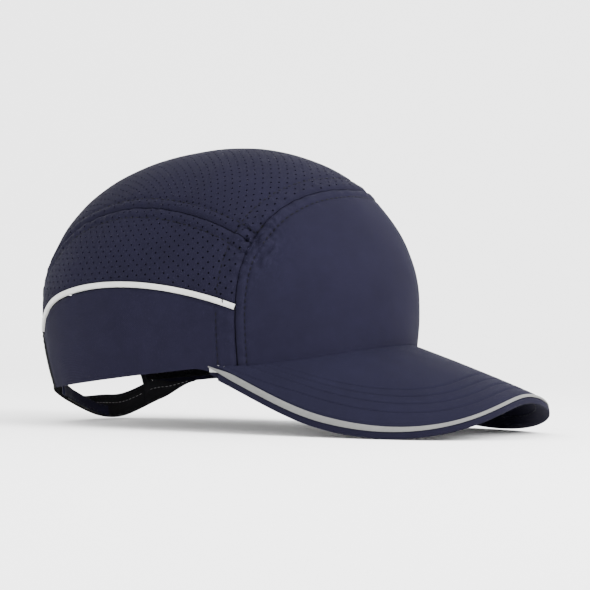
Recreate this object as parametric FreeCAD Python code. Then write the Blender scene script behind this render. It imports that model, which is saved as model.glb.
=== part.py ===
import FreeCAD, Part
import math
import os

# Bump cap: a soft cap with a loose impact-resistant shell inside it.
# Lengths are in millimetres and angles in degrees.
# The parts are drawn in the cap's own frame: origin at the middle of the side hem,
# -Y towards the brim, +X to the wearer's left, +Z up. They are then set down on a table.

# Crown: a star-shaped dome about CENTRE_Z on the Z axis
HALF_WIDTH = 84.0
FRONT_LENGTH = 103.0
BACK_LENGTH = 107.0
HEIGHT_ABOVE = 87.5
HEIGHT_BELOW = 117.0
CENTRE_Z = 30.0
POWER_FRONT = 2.08
POWER_BACK = 2.14
POWER_BLEND = 6.0

# Hem, seams and the arch-shaped opening at the back
HEM_Z = -2.2
HEM_SLOPE = -0.029
HEM_DIP = 4.5
HEM_DIP_FROM_Y = -18.0
HEM_DIP_OVER_Y = 18.0
FRONT_SEAM_AZIMUTH = 61.3
FRONT_SEAM_BASE = -19.0
FRONT_SEAM_RISE = 55.5
FRONT_SEAM_POWER = 3.05
CROWN_SEAM_WIDEST = 54.0
CROWN_SEAM_WIDEST_AT = 68.0
CROWN_SEAM_CURVE = 0.0034
PIPING_CREST = 11.6
PIPING_CREST_AT = 112.0
PIPING_CURVE = 0.00447
PIPING_DROP_AT = 136.0
PIPING_DROP = 0.011
PIPING_ANGLE = 2.3
ARCH_HALF_ANGLE = 28.0
ARCH_BASE = -20.0
ARCH_RISE = 26.5
BINDING_ANGLE = 3.4

# Layers of the crown, as depths below its outer face
FABRIC = 1.0
PIPING_PROUD = 1.1
BINDING_PROUD = 0.6
BINDING_DEPTH = 1.6
TAPE_TOP = 1.15
TAPE_THICK = 0.45
TAPE_WIDTH = 12.0
TAPE_END_GAP = 6.0
SWEATBAND_TOP = 1.8
SWEATBAND_THICK = 1.6
SWEATBAND_ANGLE = 17.0
SWEATBAND_TURN = 1.5
SEAM_GAP = 0.15

# Brim
BRIM_LENGTH = 64.0
BRIM_HALF_WIDTH = 81.3
BRIM_POWER = 3.12
BRIM_CORNER_X = 79.3
BRIM_RADIUS = 92.5
BRIM_PITCH = 26.8
BRIM_ROOT_DIP = 3.0
BRIM_CUT = 0.985
BRIM_ROOT_GAP = 0.35
BRIM_COVER_THICK = 0.8
BRIM_BOARD_THICK = 2.0
BRIM_UNDER_THICK = 1.5
BRIM_LAYER_GAP = 0.15
BRIM_PIPING_INNER = 2.2
BRIM_PIPING_OUTER = 1.1
BRIM_PIPING_TOP = 0.8
BRIM_PANEL_OVERLAP = 5.0

# Back straps: angle is measured from the middle of the back, + on the wearer's left
STRAP_THICK = 1.5
STRAP_LOW_ANGLE = 16.0
STRAP_SAG = 13.3
STRAP_CENTRE_Z = -2.5
STRAP_SAG_LEFT = 17.0
STRAP_SAG_RIGHT = 22.0
STRAP_BELOW_CENTRE = 6.0
STRAP_LEFT_HEIGHT = 13.0
STRAP_TAIL_HEIGHT = 6.0
STRAP_TAPER_FROM = 14.0
STRAP_TAPER_OVER = 20.0
STRAP_LEFT_END = 27.3
STRAP_TAIL_END = -25.0
STRAP_LEFT_DEPTH = 2.6
STRAP_TAIL_DEPTH = -0.6
STRAP_TAIL_LIFT = 3.2
STRAP_RIGHT_END = -29.5
STRAP_RIGHT_EASE = 14.0
STRAP_RIGHT_TIP = 11.0
STRAP_RIGHT_DEPTH = 6.0
STRAP_RIGHT_SEWN_DEPTH = 3.7
STRAP_RIGHT_HEIGHT = 6.5
STRAP_RIGHT_FLARE = 3.0
STRAP_FLARE_FROM = -12.0
STRAP_FLARE_OVER = 20.0
TAB_START = 27.8
TAB_END = 46.0
TAB_RISE = 4.8
TAB_RISE_FROM = 34.0
TAB_TOP = 0.8
TAB_TOP_FROM = 26.5
TAB_TOP_OVER = 12.0
TAB_DEPTH = 1.2
TAB_EASE = 8.0
PATCH_THICK = 0.7
PATCH_GAP = 0.12
PATCH_FROM = -13.0
PATCH_TO = 9.0

# Impact shell and its foam, as depths below the crown's outer face
SHELL_SIDE_DEPTH = 7.6
SHELL_BACK_DEPTH = 12.0
SHELL_TOP_DEPTH = 3.6
SHELL_THICK = 2.0
SHELL_FRONT_EDGE = -11.0
SHELL_BACK_EDGE = 11.0
SLOT_WIDTH = 5.0
SLOT_LENGTH = 23.0
SLOTS_ACROSS = (-30.0, -10.0, 10.0, 30.0)
SLOTS_ALONG = (62.0, 92.0, 122.0)
PAD_THICK = 6.0
PAD_GAP = 0.12
PAD_FOOT = 1.0
PAD_TOP = 22.0
REAR_PAD_TOP = 20.0
FRONT_PAD = (-38.0, 38.0)
SIDE_PAD = (52.0, 108.0)
REAR_PAD = (148.0, 212.0)
CROWN_PAD_ALONG = (52.0, 132.0)
CROWN_PAD_ACROSS = 22.0
DOT_RADIUS = 9.0
DOT_THICK = 0.7
DOT_GAP = 0.15
DOT_PLACES = ((46.0, 0.0), (140.0, 0.0), (92.0, -41.0), (92.0, 41.0))
DOME_RADIUS = 75.0

# Care label
LABEL_ANGLE = 122.0
LABEL_SPAN = 10.0
LABEL_FOOT = 4.0
LABEL_HEIGHT = 11.0
LABEL_THICK = 0.35
LABEL_GAP = 0.12

# Pose of the cap on the table
REST_TILT = 5.69
REST_Y = 29.84
REST_Z = 31.31

FINE = 17
COARSE = 9
CENTRE = FreeCAD.Vector(0, 0, CENTRE_Z)


def vec(x, y, z):
    return FreeCAD.Vector(x, y, z)


def smooth(t):
    t = min(max(t, 0.0), 1.0)
    return t * t * (3.0 - 2.0 * t)


def heading(azimuth, rise):
    """Direction from the crown's centre: azimuth from the front, + to the wearer's left."""
    a = math.radians(azimuth)
    e = math.radians(rise)
    return vec(math.cos(e) * math.sin(a), -math.cos(e) * math.cos(a), math.sin(e))


def over_top(along, across):
    """Direction given by an angle from front over the top to back, and one to the side."""
    p = math.radians(along)
    s = math.radians(across)
    return vec(math.sin(s), -math.cos(s) * math.cos(p), math.cos(s) * math.sin(p))


def azimuth_of(d):
    return math.degrees(math.atan2(d.x, -d.y))


def rise_of(d):
    return math.degrees(math.atan2(d.z, math.hypot(d.x, d.y)))


def crown(direction, depth=0.0):
    """Point a depth below the crown's outer face, measured square to the face."""
    d = vec(direction.x, direction.y, direction.z)
    d.normalize()
    front = 1.0 / (1.0 + math.exp(POWER_BLEND * d.y))
    power = POWER_FRONT * front + POWER_BACK * (1.0 - front)
    length = FRONT_LENGTH if d.y < 0 else BACK_LENGTH
    height = HEIGHT_ABOVE if d.z > 0 else HEIGHT_BELOW
    terms = [abs(d.x / HALF_WIDTH), abs(d.y / length), abs(d.z / height)]
    reach = sum(t ** power for t in terms) ** (-1.0 / power)
    normal = vec(
        math.copysign(terms[0] ** (power - 1.0) / HALF_WIDTH, d.x),
        math.copysign(terms[1] ** (power - 1.0) / length, d.y),
        math.copysign(terms[2] ** (power - 1.0) / height, d.z),
    )
    normal.normalize()
    return CENTRE + d * reach - normal * depth


def rise_at(azimuth, height_at):
    """Elevation angle at which the crown face meets a height given by height_at(point)."""
    rise = -20.0
    for _ in range(14):
        p = crown(heading(azimuth, rise))
        z = height_at(p)
        rise = math.degrees(math.atan2(z - CENTRE_Z, math.hypot(p.x, p.y)))
    return rise


def side_hem_z(p):
    dip = smooth((HEM_DIP_FROM_Y - p.y) / HEM_DIP_OVER_Y)
    return HEM_Z + HEM_SLOPE * p.y - HEM_DIP * dip


def arch_drop(x):
    return BRIM_RADIUS - math.sqrt(max(BRIM_RADIUS ** 2 - x * x, 1.0))


def brim_corner():
    """Azimuth and Y of the brim's corner, where the crown at z = 0 is BRIM_CORNER_X wide."""
    low, high = 40.0, 85.0
    for _ in range(30):
        mid = (low + high) / 2.0
        p = crown(heading(mid, rise_at(mid, lambda q: 0.0)))
        if p.x < BRIM_CORNER_X:
            low = mid
        else:
            high = mid
    return mid, p.y


CORNER_AZIMUTH, CORNER_Y = brim_corner()


def brim_z(x, y, out=0.0):
    """Height of the brim's top face. out runs from 0 at the crown to 1 at the edge."""
    fall = math.tan(math.radians(BRIM_PITCH)) * (CORNER_Y - y)
    dip = BRIM_ROOT_DIP * (1.0 - out) ** 2 * max(1.0 - (x / BRIM_CORNER_X) ** 2, 0.0)
    return arch_drop(BRIM_CORNER_X) - arch_drop(x) - fall - dip


def front_hem_z(p):
    return min(brim_z(p.x, p.y), 14.0) - BRIM_PANEL_OVERLAP


def hem(azimuth, extra=0.0):
    """Direction of the hem at an azimuth."""
    if abs(azimuth) <= FRONT_SEAM_AZIMUTH:
        rise = rise_at(azimuth, front_hem_z)
    else:
        rise = rise_at(azimuth, side_hem_z)
    return heading(azimuth, rise + extra)


# Seam curves, each a function of its own parameter that returns a direction
def front_seam(turn, side=1):
    """Seam round the front panel. turn is 0 at its foot and 90 at the middle of the forehead."""
    a = math.radians(turn)
    azimuth = FRONT_SEAM_AZIMUTH * math.cos(a) ** (2.0 / FRONT_SEAM_POWER)
    rise = FRONT_SEAM_BASE + FRONT_SEAM_RISE * math.sin(a) ** (2.0 / FRONT_SEAM_POWER)
    return heading(side * azimuth, rise)


def crown_seam(along, side=1):
    across = CROWN_SEAM_WIDEST - CROWN_SEAM_CURVE * (along - CROWN_SEAM_WIDEST_AT) ** 2
    return over_top(along, side * across)


def piping_line(azimuth, side=1, below=0.0):
    rise = PIPING_CREST - PIPING_CURVE * (azimuth - PIPING_CREST_AT) ** 2 - below
    rise -= PIPING_DROP * max(azimuth - PIPING_DROP_AT, 0.0) ** 2
    return heading(side * azimuth, rise)


def arch_edge(turn, side=1, widen=0.0):
    """Edge of the back opening. turn is 0 at the hem and 90 at the middle of the back."""
    a = math.radians(turn)
    from_back = (ARCH_HALF_ANGLE + widen) * math.cos(a)
    rise = ARCH_BASE + (ARCH_RISE + widen) * math.sin(a)
    return heading(side * (180.0 - from_back), rise)


def outside_arch(d, widen):
    from_back = 180.0 - abs(azimuth_of(d))
    u = from_back / (ARCH_HALF_ANGLE + widen)
    v = (rise_of(d) - ARCH_BASE) / (ARCH_RISE + widen)
    return u * u + v * v - 1.0


def beyond_front_seam(d):
    u = abs(azimuth_of(d)) / FRONT_SEAM_AZIMUTH
    v = max(rise_of(d) - FRONT_SEAM_BASE, 0.0) / FRONT_SEAM_RISE
    return u ** FRONT_SEAM_POWER + v ** FRONT_SEAM_POWER - 1.0


def meet(curve, test, low, high):
    """Parameter between low and high where test(curve(t)) changes sign."""
    sign = test(curve(low)) > 0
    for _ in range(40):
        mid = (low + high) / 2.0
        if (test(curve(mid)) > 0) == sign:
            low = mid
        else:
            high = mid
    return (low + high) / 2.0


def arch_turn_of(d, widen):
    v = (rise_of(d) - ARCH_BASE) / (ARCH_RISE + widen)
    return math.degrees(math.asin(min(max(v, 0.0), 1.0)))


def seam_turn_of(d):
    """The front seam's parameter at the rise of a direction."""
    v = max(rise_of(d) - FRONT_SEAM_BASE, 0.0) / FRONT_SEAM_RISE
    return math.degrees(math.asin(min(v, 1.0) ** (FRONT_SEAM_POWER / 2.0)))


CROWN_SEAM_START = meet(crown_seam, beyond_front_seam, 20.0, 60.0)
CROWN_SEAM_END = meet(crown_seam, lambda d: outside_arch(d, BINDING_ANGLE), 140.0, 179.0)
CROWN_SEAM_TURN = seam_turn_of(crown_seam(CROWN_SEAM_START))
CROWN_ARCH_TURN = arch_turn_of(crown_seam(CROWN_SEAM_END), BINDING_ANGLE)


def between(curve, start, end):
    return lambda t: curve(start + (end - start) * t)


def coons(bottom, top, left, right):
    """Direction field between four edge curves that share their corners."""
    corners = [bottom(0.0), bottom(1.0), top(0.0), top(1.0)]

    def field(u, v):
        sides = left(v) * (1 - u) + right(v) * u
        ends = bottom(u) * (1 - v) + top(u) * v
        low = corners[0] * (1 - u) + corners[1] * u
        high = corners[2] * (1 - u) + corners[3] * u
        return sides + ends - low * (1 - v) - high * v

    return field


def grid(point_at, nu, nv, inset_u=0.0, inset_v=0.0):
    rows = []
    for i in range(nu):
        u = inset_u + (1 - 2 * inset_u) * i / (nu - 1.0)
        rows.append([])
        for j in range(nv):
            v = inset_v + (1 - 2 * inset_v) * j / (nv - 1.0)
            rows[-1].append(point_at(u, v))
    return rows


def slab(outer, inner):
    """Closed solid between two grids of points with the same layout."""
    faces = []
    surfaces = []
    for points in (outer, inner):
        surface = Part.BSplineSurface()
        surface.interpolate(points)
        surfaces.append(surface)
        faces.append(surface.toShape())
    u0, u1, v0, v1 = surfaces[0].bounds()
    p0, p1, q0, q1 = surfaces[1].bounds()
    edges = [
        (surfaces[0].uIso(u0), surfaces[1].uIso(p0)),
        (surfaces[0].uIso(u1), surfaces[1].uIso(p1)),
        (surfaces[0].vIso(v0), surfaces[1].vIso(q0)),
        (surfaces[0].vIso(v1), surfaces[1].vIso(q1)),
    ]
    for a, b in edges:
        faces.append(Part.makeRuledSurface(a.toShape(), b.toShape()))
    shell = Part.makeShell(faces)
    shell.sewShape()
    solid = Part.makeSolid(shell)
    if solid.Volume < 0:
        solid.reverse()
    return solid


def patch(field, top, bottom, nu=FINE, nv=COARSE, gap=SEAM_GAP):
    """Slab of crown between two depths over a direction field, drawn in by a seam gap."""
    width = (crown(field(1.0, 0.5)) - crown(field(0.0, 0.5))).Length
    height = (crown(field(0.5, 1.0)) - crown(field(0.5, 0.0))).Length
    iu = gap / width
    iv = gap / height
    outer = grid(lambda u, v: crown(field(u, v), top), nu, nv, iu, iv)
    inner = grid(lambda u, v: crown(field(u, v), bottom), nu, nv, iu, iv)
    return slab(outer, inner)


# Crown panels
def over_the_middle(edge, start):
    """Curve edge(turn, side) from start on the right, through 90 at the middle, to the left."""
    def curve(t):
        turn = start + (90.0 - start) * (1.0 - abs(2 * t - 1))
        return edge(turn, -1 if t < 0.5 else 1)

    return curve


def side_crown_seam(side):
    return between(lambda a: crown_seam(a, side), CROWN_SEAM_START, CROWN_SEAM_END)


def front_panel():
    foot = rise_of(hem(FRONT_SEAM_AZIMUTH))
    corner = rise_of(crown_seam(CROWN_SEAM_START))
    bottom = between(hem, -FRONT_SEAM_AZIMUTH, FRONT_SEAM_AZIMUTH)
    top = over_the_middle(front_seam, CROWN_SEAM_TURN)
    right_side = front_side_part(-1, foot, corner)
    left_side = front_side_part(1, foot, corner)
    return patch(coons(bottom, top, right_side, left_side), 0.0, FABRIC, 21, 15)


def front_side_part(side, low, high):
    """Part of the front seam between two rises, from low to high."""
    def curve(t):
        rise = low + (high - low) * t
        v = min(max(rise - FRONT_SEAM_BASE, 0.0) / FRONT_SEAM_RISE, 1.0)
        azimuth = FRONT_SEAM_AZIMUTH * (1 - v ** FRONT_SEAM_POWER) ** (1.0 / FRONT_SEAM_POWER)
        return heading(side * azimuth, rise)

    return curve


def piping_ends(below):
    line = lambda azimuth: piping_line(azimuth, 1, below)
    start = meet(line, beyond_front_seam, 50.0, 75.0)
    end = meet(line, lambda d: outside_arch(d, BINDING_ANGLE), 145.0, 172.0)
    return start, end


def side_mesh(side):
    start, end = piping_ends(0.0)
    bottom = between(lambda a: piping_line(a, side), start, end)
    top = side_crown_seam(side)
    left = front_side_part(side, rise_of(bottom(0.0)), rise_of(top(0.0)))
    turns = [arch_turn_of(d, BINDING_ANGLE) for d in (bottom(1.0), top(1.0))]
    right = between(lambda a: arch_edge(a, side, BINDING_ANGLE), turns[0], turns[1])
    return patch(coons(bottom, top, left, right), 0.0, FABRIC, 21, 9)


def side_panel(side):
    start, end = piping_ends(PIPING_ANGLE)
    corner = 180.0 - ARCH_HALF_ANGLE - BINDING_ANGLE
    bottom = lambda t: hem(side * (FRONT_SEAM_AZIMUTH + 0.01 + (corner - FRONT_SEAM_AZIMUTH) * t))
    top = between(lambda a: piping_line(a, side, PIPING_ANGLE), start, end)
    left = front_side_part(side, rise_of(bottom(0.0)), rise_of(top(0.0)))
    turns = [arch_turn_of(d, BINDING_ANGLE) for d in (bottom(1.0), top(1.0))]
    right = between(lambda a: arch_edge(a, side, BINDING_ANGLE), turns[0], turns[1])
    return patch(coons(bottom, top, left, right), 0.0, FABRIC, 21, 9)


def side_piping(side):
    ends = [piping_ends(0.0), piping_ends(PIPING_ANGLE)]
    start = max(e[0] for e in ends)
    end = min(e[1] for e in ends)
    field = lambda u, v: piping_line(start + (end - start) * u, side, PIPING_ANGLE * (1 - v))
    return patch(field, -PIPING_PROUD, FABRIC, 21, 3, 0.25)


def crown_panel():
    bottom = over_the_middle(front_seam, CROWN_SEAM_TURN)
    top = over_the_middle(lambda turn, side: arch_edge(turn, side, BINDING_ANGLE), CROWN_ARCH_TURN)
    field = coons(bottom, top, side_crown_seam(-1), side_crown_seam(1))
    return patch(field, 0.0, FABRIC, 21, 25)


def arch_binding():
    foot = 2.0
    field = lambda u, v: over_the_middle(lambda turn, side: arch_edge(turn, side, BINDING_ANGLE * v), foot)(u)
    return patch(field, -BINDING_PROUD, BINDING_DEPTH, 29, 3, 0.2)


def seam_tape(line, count):
    """Flat tape under a seam. line(t) gives the seam's direction."""
    def point(u, v, depth):
        here = line(u)
        step = 0.004
        ahead = crown(line(min(u + step, 1.0)))
        behind = crown(line(max(u - step, 0.0)))
        along = (ahead - behind).normalize()
        face = crown(here)
        outward = (face - crown(here, 1.0)).normalize()
        across = outward.cross(along)
        return crown(face + across * (TAPE_WIDTH * (v - 0.5)) - CENTRE, depth)

    outer = grid(lambda u, v: point(u, v, TAPE_TOP), count, 3, 0.004)
    inner = grid(lambda u, v: point(u, v, TAPE_TOP + TAPE_THICK), count, 3, 0.004)
    return slab(outer, inner)


def front_seam_tape(side):
    low = rise_of(hem(side * FRONT_SEAM_AZIMUTH)) + 1.0
    high = rise_of(crown_seam(CROWN_SEAM_START)) - 4.5
    return seam_tape(front_side_part(side, low, high), 11)


def crown_seam_tape(side):
    start = CROWN_SEAM_START + TAPE_END_GAP
    end = CROWN_SEAM_END - 4.0
    return seam_tape(between(lambda a: crown_seam(a, side), start, end), 17)


def forehead_seam_tape():
    return seam_tape(over_the_middle(front_seam, CROWN_SEAM_TURN + TAPE_END_GAP), 17)


def sweatband():
    reach = 180.0 - ARCH_HALF_ANGLE - 1.0

    def field(u, v):
        azimuth = reach * (2 * u - 1)
        return hem(azimuth, SWEATBAND_TURN + SWEATBAND_ANGLE * v)

    return patch(field, SWEATBAND_TOP, SWEATBAND_TOP + SWEATBAND_THICK, 61, 5, 0.0)


def care_label():
    depth = SWEATBAND_TOP + SWEATBAND_THICK + LABEL_GAP

    def field(u, v):
        azimuth = LABEL_ANGLE + LABEL_SPAN * (u - 0.5)
        return hem(azimuth, LABEL_FOOT + LABEL_HEIGHT * v)

    return patch(field, depth, depth + LABEL_THICK, 5, 4, 0.0)


# Brim
def brim_root(q):
    """Point where the brim's top face meets the crown, for q from -1 to 1."""
    azimuth = q * CORNER_AZIMUTH
    d = heading(azimuth, rise_at(azimuth, lambda p: brim_z(p.x, p.y)))
    return crown(d, -BRIM_ROOT_GAP)


def brim_edge(q):
    """Point of the brim's outline seen from above, for q from -1 to 1."""
    forward = 1.0 - abs(q) ** BRIM_POWER
    reach = FRONT_LENGTH + BRIM_LENGTH + CORNER_Y
    spread = smooth(forward / 0.45)
    half = BRIM_CORNER_X + (BRIM_HALF_WIDTH - BRIM_CORNER_X) * spread
    x = half * (1.0 - forward ** BRIM_POWER) ** (1.0 / BRIM_POWER)
    return vec(math.copysign(x, q), CORNER_Y - reach * forward, 0.0)


def brim_outward(q):
    a = brim_edge(min(q + 0.01, 1.0))
    b = brim_edge(max(q - 0.01, -1.0))
    along = (a - b).normalize()
    return vec(along.y, -along.x, 0.0)


def brim_point(u, v, grow, drop):
    """Point of the brim, v from the crown to the edge moved out by grow, drop below the top face."""
    q = BRIM_CUT * (2 * u - 1)
    root = brim_root(q)
    edge = brim_edge(q) + brim_outward(q) * grow
    x = root.x + (edge.x - root.x) * v
    y = root.y + (edge.y - root.y) * v
    return vec(x, y, brim_z(x, y, v) - drop)


def brim_layer(grow, top, bottom, nu=29, nv=7):
    outer = grid(lambda u, v: brim_point(u, v, grow, top), nu, nv)
    inner = grid(lambda u, v: brim_point(u, v, grow, bottom), nu, nv)
    return slab(outer, inner)


def brim_top_cover():
    return brim_layer(-BRIM_PIPING_INNER - BRIM_LAYER_GAP, 0.0, BRIM_COVER_THICK)


def brim_board():
    top = BRIM_COVER_THICK + BRIM_LAYER_GAP
    return brim_layer(-BRIM_PIPING_INNER - 2 * BRIM_LAYER_GAP, top, top + BRIM_BOARD_THICK)


def brim_under_top():
    return BRIM_COVER_THICK + BRIM_BOARD_THICK + 2 * BRIM_LAYER_GAP


def brim_under_cover():
    top = brim_under_top()
    return brim_layer(0.0, top, top + BRIM_UNDER_THICK)


def brim_piping():
    def point(u, v, drop):
        q = BRIM_CUT * (2 * u - 1)
        edge = brim_edge(q)
        out = brim_outward(q)
        p = edge + out * (-BRIM_PIPING_INNER + (BRIM_PIPING_INNER + BRIM_PIPING_OUTER) * v)
        return vec(p.x, p.y, brim_z(p.x, p.y, 1.0) - drop)

    bottom = brim_under_top() - BRIM_LAYER_GAP
    outer = grid(lambda u, v: point(u, v, -BRIM_PIPING_TOP), 29, 3)
    inner = grid(lambda u, v: point(u, v, bottom), 29, 3)
    return slab(outer, inner)


# Back straps
def strap_sag_z(angle):
    spread = STRAP_SAG_LEFT if angle > STRAP_LOW_ANGLE else STRAP_SAG_RIGHT
    return STRAP_CENTRE_Z - STRAP_SAG * math.exp(-((angle - STRAP_LOW_ANGLE) / spread) ** 2)


def strap_point(angle, z, depth):
    """Point a depth inside the hem's outline, at an angle from the middle of the back."""
    azimuth = 180.0 - angle
    face = crown(heading(azimuth, ARCH_BASE))
    outward = vec(face.x / HALF_WIDTH ** 2, face.y / BACK_LENGTH ** 2, 0.0).normalize()
    p = face - outward * depth
    return vec(p.x, p.y, z)


def strap_bottom(angle):
    return strap_sag_z(angle) - STRAP_BELOW_CENTRE


def strap_left_height(angle):
    full = smooth((angle - STRAP_TAPER_FROM + STRAP_TAPER_OVER) / STRAP_TAPER_OVER)
    return STRAP_TAIL_HEIGHT + (STRAP_LEFT_HEIGHT - STRAP_TAIL_HEIGHT) * full


def tail_share(angle):
    """From 0 where the left strap's patch ends to 1 at the tip of its loose tail."""
    return smooth((PATCH_FROM - angle) / (PATCH_FROM - STRAP_TAIL_END))


def strap_left_depth(angle):
    return STRAP_LEFT_DEPTH + (STRAP_TAIL_DEPTH - STRAP_LEFT_DEPTH) * tail_share(angle)


def strap_left_rise(angle):
    """How far the loose tail curls up above the strap's line."""
    return STRAP_TAIL_LIFT * tail_share(angle)


def no_rise(angle):
    return 0.0


def strap_right_depth(angle):
    free = smooth((angle - STRAP_RIGHT_END) / STRAP_RIGHT_EASE)
    return STRAP_RIGHT_SEWN_DEPTH + (STRAP_RIGHT_DEPTH - STRAP_RIGHT_SEWN_DEPTH) * free


def strap_right_height(angle):
    return STRAP_RIGHT_HEIGHT + STRAP_RIGHT_FLARE * smooth((STRAP_FLARE_FROM - angle) / STRAP_FLARE_OVER)


def band(start, end, depth, height, thick, lift=0.0, count=FINE, rise=no_rise):
    """Strap or patch from one angle to another. depth, height and rise are functions of angle."""
    def point(u, v, extra):
        angle = start + (end - start) * u
        z = strap_bottom(angle) + rise(angle) + lift + (height(angle) - 2 * lift) * v
        return strap_point(angle, z, depth(angle) + extra)

    outer = grid(lambda u, v: point(u, v, 0.0), count, 3)
    inner = grid(lambda u, v: point(u, v, thick), count, 3)
    return slab(outer, inner)


def strap_left():
    depth = strap_left_depth
    height = strap_left_height
    return band(STRAP_TAIL_END, STRAP_LEFT_END, depth, height, STRAP_THICK, 0.0, 25, strap_left_rise)


def strap_left_tab():
    """Sewn end of the left strap, which slants up inside the side panel to the hem."""
    def point(u, v, extra):
        angle = TAB_START + (TAB_END - TAB_START) * u
        reach = TAB_END - TAB_RISE_FROM
        low = strap_bottom(angle) + TAB_RISE * smooth((angle - TAB_RISE_FROM) / reach)
        strap_top = strap_bottom(angle) + STRAP_LEFT_HEIGHT
        hem_top = crown(hem(180.0 - angle)).z + TAB_TOP
        high = strap_top + (hem_top - strap_top) * smooth((angle - TAB_TOP_FROM) / TAB_TOP_OVER)
        depth = STRAP_LEFT_DEPTH + (TAB_DEPTH - STRAP_LEFT_DEPTH) * smooth((angle - TAB_START) / TAB_EASE)
        return strap_point(angle, low + (high - low) * v, depth + extra)

    outer = grid(lambda u, v: point(u, v, 0.0), 13, 3)
    inner = grid(lambda u, v: point(u, v, STRAP_THICK), 13, 3)
    return slab(outer, inner)


def strap_right():
    height = strap_right_height
    return band(STRAP_RIGHT_END, STRAP_RIGHT_TIP, strap_right_depth, height, STRAP_THICK, 0.4, 21)


def hook_patch():
    depth = lambda angle: strap_left_depth(angle) + STRAP_THICK + PATCH_GAP
    return band(PATCH_FROM, PATCH_TO, depth, strap_right_height, PATCH_THICK, 0.9, 9)


def loop_patch():
    depth = lambda angle: strap_right_depth(angle) - PATCH_GAP - PATCH_THICK
    return band(PATCH_FROM, PATCH_TO, depth, strap_right_height, PATCH_THICK, 0.9, 9)


# Impact shell, its foam pads and its fasteners
def shell_depth(d):
    """Depth of the shell's outer face: clear of the sweatband and straps when it is drawn out."""
    flat = 1.0 - abs(d.z) ** 2
    back = smooth(d.y)
    side = SHELL_SIDE_DEPTH + (SHELL_BACK_DEPTH - SHELL_SIDE_DEPTH) * back
    return SHELL_TOP_DEPTH + (side - SHELL_TOP_DEPTH) * flat


def shell_edge_rise(azimuth):
    back = smooth((abs(azimuth) - 60.0) / 90.0)
    return SHELL_FRONT_EDGE + (SHELL_BACK_EDGE - SHELL_FRONT_EDGE) * back


def disc_direction(a, b):
    """Direction for a point of the square -1..1 mapped to a disc over the dome."""
    x = a * math.sqrt(1 - b * b / 2)
    y = b * math.sqrt(1 - a * a / 2)
    radius = math.hypot(x, y)
    azimuth = math.degrees(math.atan2(x, -y))
    return heading(azimuth, 90.0 - radius * (90.0 - shell_edge_rise(azimuth)))


def shell_point(d, extra):
    unit = vec(d.x, d.y, d.z).normalize()
    return crown(unit, shell_depth(unit) + extra)


def slot_cutter(along, across):
    """Round-ended bar that cuts one vent slot square through the dome."""
    p = shell_point(over_top(along, across), 0.0)
    q = shell_point(over_top(along, across), SHELL_THICK)
    ahead = shell_point(over_top(along + 1.0, across), 0.0)
    axis = (p - q).normalize()
    length = (ahead - p).normalize()
    width = axis.cross(length)
    spare = 4.0
    start = p - axis * (SHELL_THICK + spare)
    half = (SLOT_LENGTH - SLOT_WIDTH) / 2
    ring = []
    for reach, hand in [(-half, -1), (half, -1), (half, 1), (-half, 1)]:
        ring.append(start + length * reach + width * hand * SLOT_WIDTH / 2)
    tips = [start + length * s * SLOT_LENGTH / 2 for s in (1, -1)]
    edges = [
        Part.makeLine(ring[0], ring[1]),
        Part.Arc(ring[1], tips[0], ring[2]).toShape(),
        Part.makeLine(ring[2], ring[3]),
        Part.Arc(ring[3], tips[1], ring[0]).toShape(),
    ]
    return Part.Face(Part.Wire(edges)).extrude(axis * (SHELL_THICK + 2 * spare))


def bump_shell():
    field = lambda u, v: disc_direction(2 * u - 1, 2 * v - 1)
    outer = grid(lambda u, v: shell_point(field(u, v), 0.0), 25, 25)
    inner = grid(lambda u, v: shell_point(field(u, v), SHELL_THICK), 25, 25)
    shell = slab(outer, inner)
    for across in SLOTS_ACROSS:
        for along in SLOTS_ALONG:
            shell = shell.cut(slot_cutter(along, across))
    return shell


def pad(field, nu=13, nv=7):
    """Foam pad bonded under the shell."""
    top = SHELL_THICK + PAD_GAP
    outer = grid(lambda u, v: shell_point(field(u, v), top), nu, nv)
    inner = grid(lambda u, v: shell_point(field(u, v), top + PAD_THICK), nu, nv)
    return slab(outer, inner)


def edge_pad(start, end, high=PAD_TOP):
    """Pad just above the shell's edge, from one azimuth to another."""
    def field(u, v):
        azimuth = start + (end - start) * u
        return heading(azimuth, shell_edge_rise(azimuth) + PAD_FOOT + (high - PAD_FOOT) * v)

    return pad(field, 17, 5)


def crown_pad():
    front, back = CROWN_PAD_ALONG
    return pad(lambda u, v: over_top(front + (back - front) * u, CROWN_PAD_ACROSS * (2 * v - 1)), 13, 7)


def crown_loop_dots():
    """Loop discs on the crown, low enough for their rims to clear its inside."""
    top = FABRIC + DOT_RADIUS ** 2 / (2.0 * DOME_RADIUS)
    discs = []
    for along, across in DOT_PLACES:
        high = crown(over_top(along, across), top)
        low = crown(over_top(along, across), top + DOT_THICK)
        discs.append(Part.makeCylinder(DOT_RADIUS, DOT_THICK, low, high - low))
    return Part.makeCompound(discs)


def shell_hook_dots():
    """Hook discs that lie flat on the shell's outside."""
    discs = []
    for along, across in DOT_PLACES:
        here = shell_point(over_top(along, across), 0.0)
        ahead = shell_point(over_top(along + 1.0, across), 0.0)
        beside = shell_point(over_top(along, across + 1.0), 0.0)
        axis = (ahead - here).cross(beside - here).normalize()
        if axis.dot(here - CENTRE) < 0:
            axis = axis * -1.0
        discs.append(Part.makeCylinder(DOT_RADIUS, DOT_THICK, here + axis * DOT_GAP, axis))
    return Part.makeCompound(discs)


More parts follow.
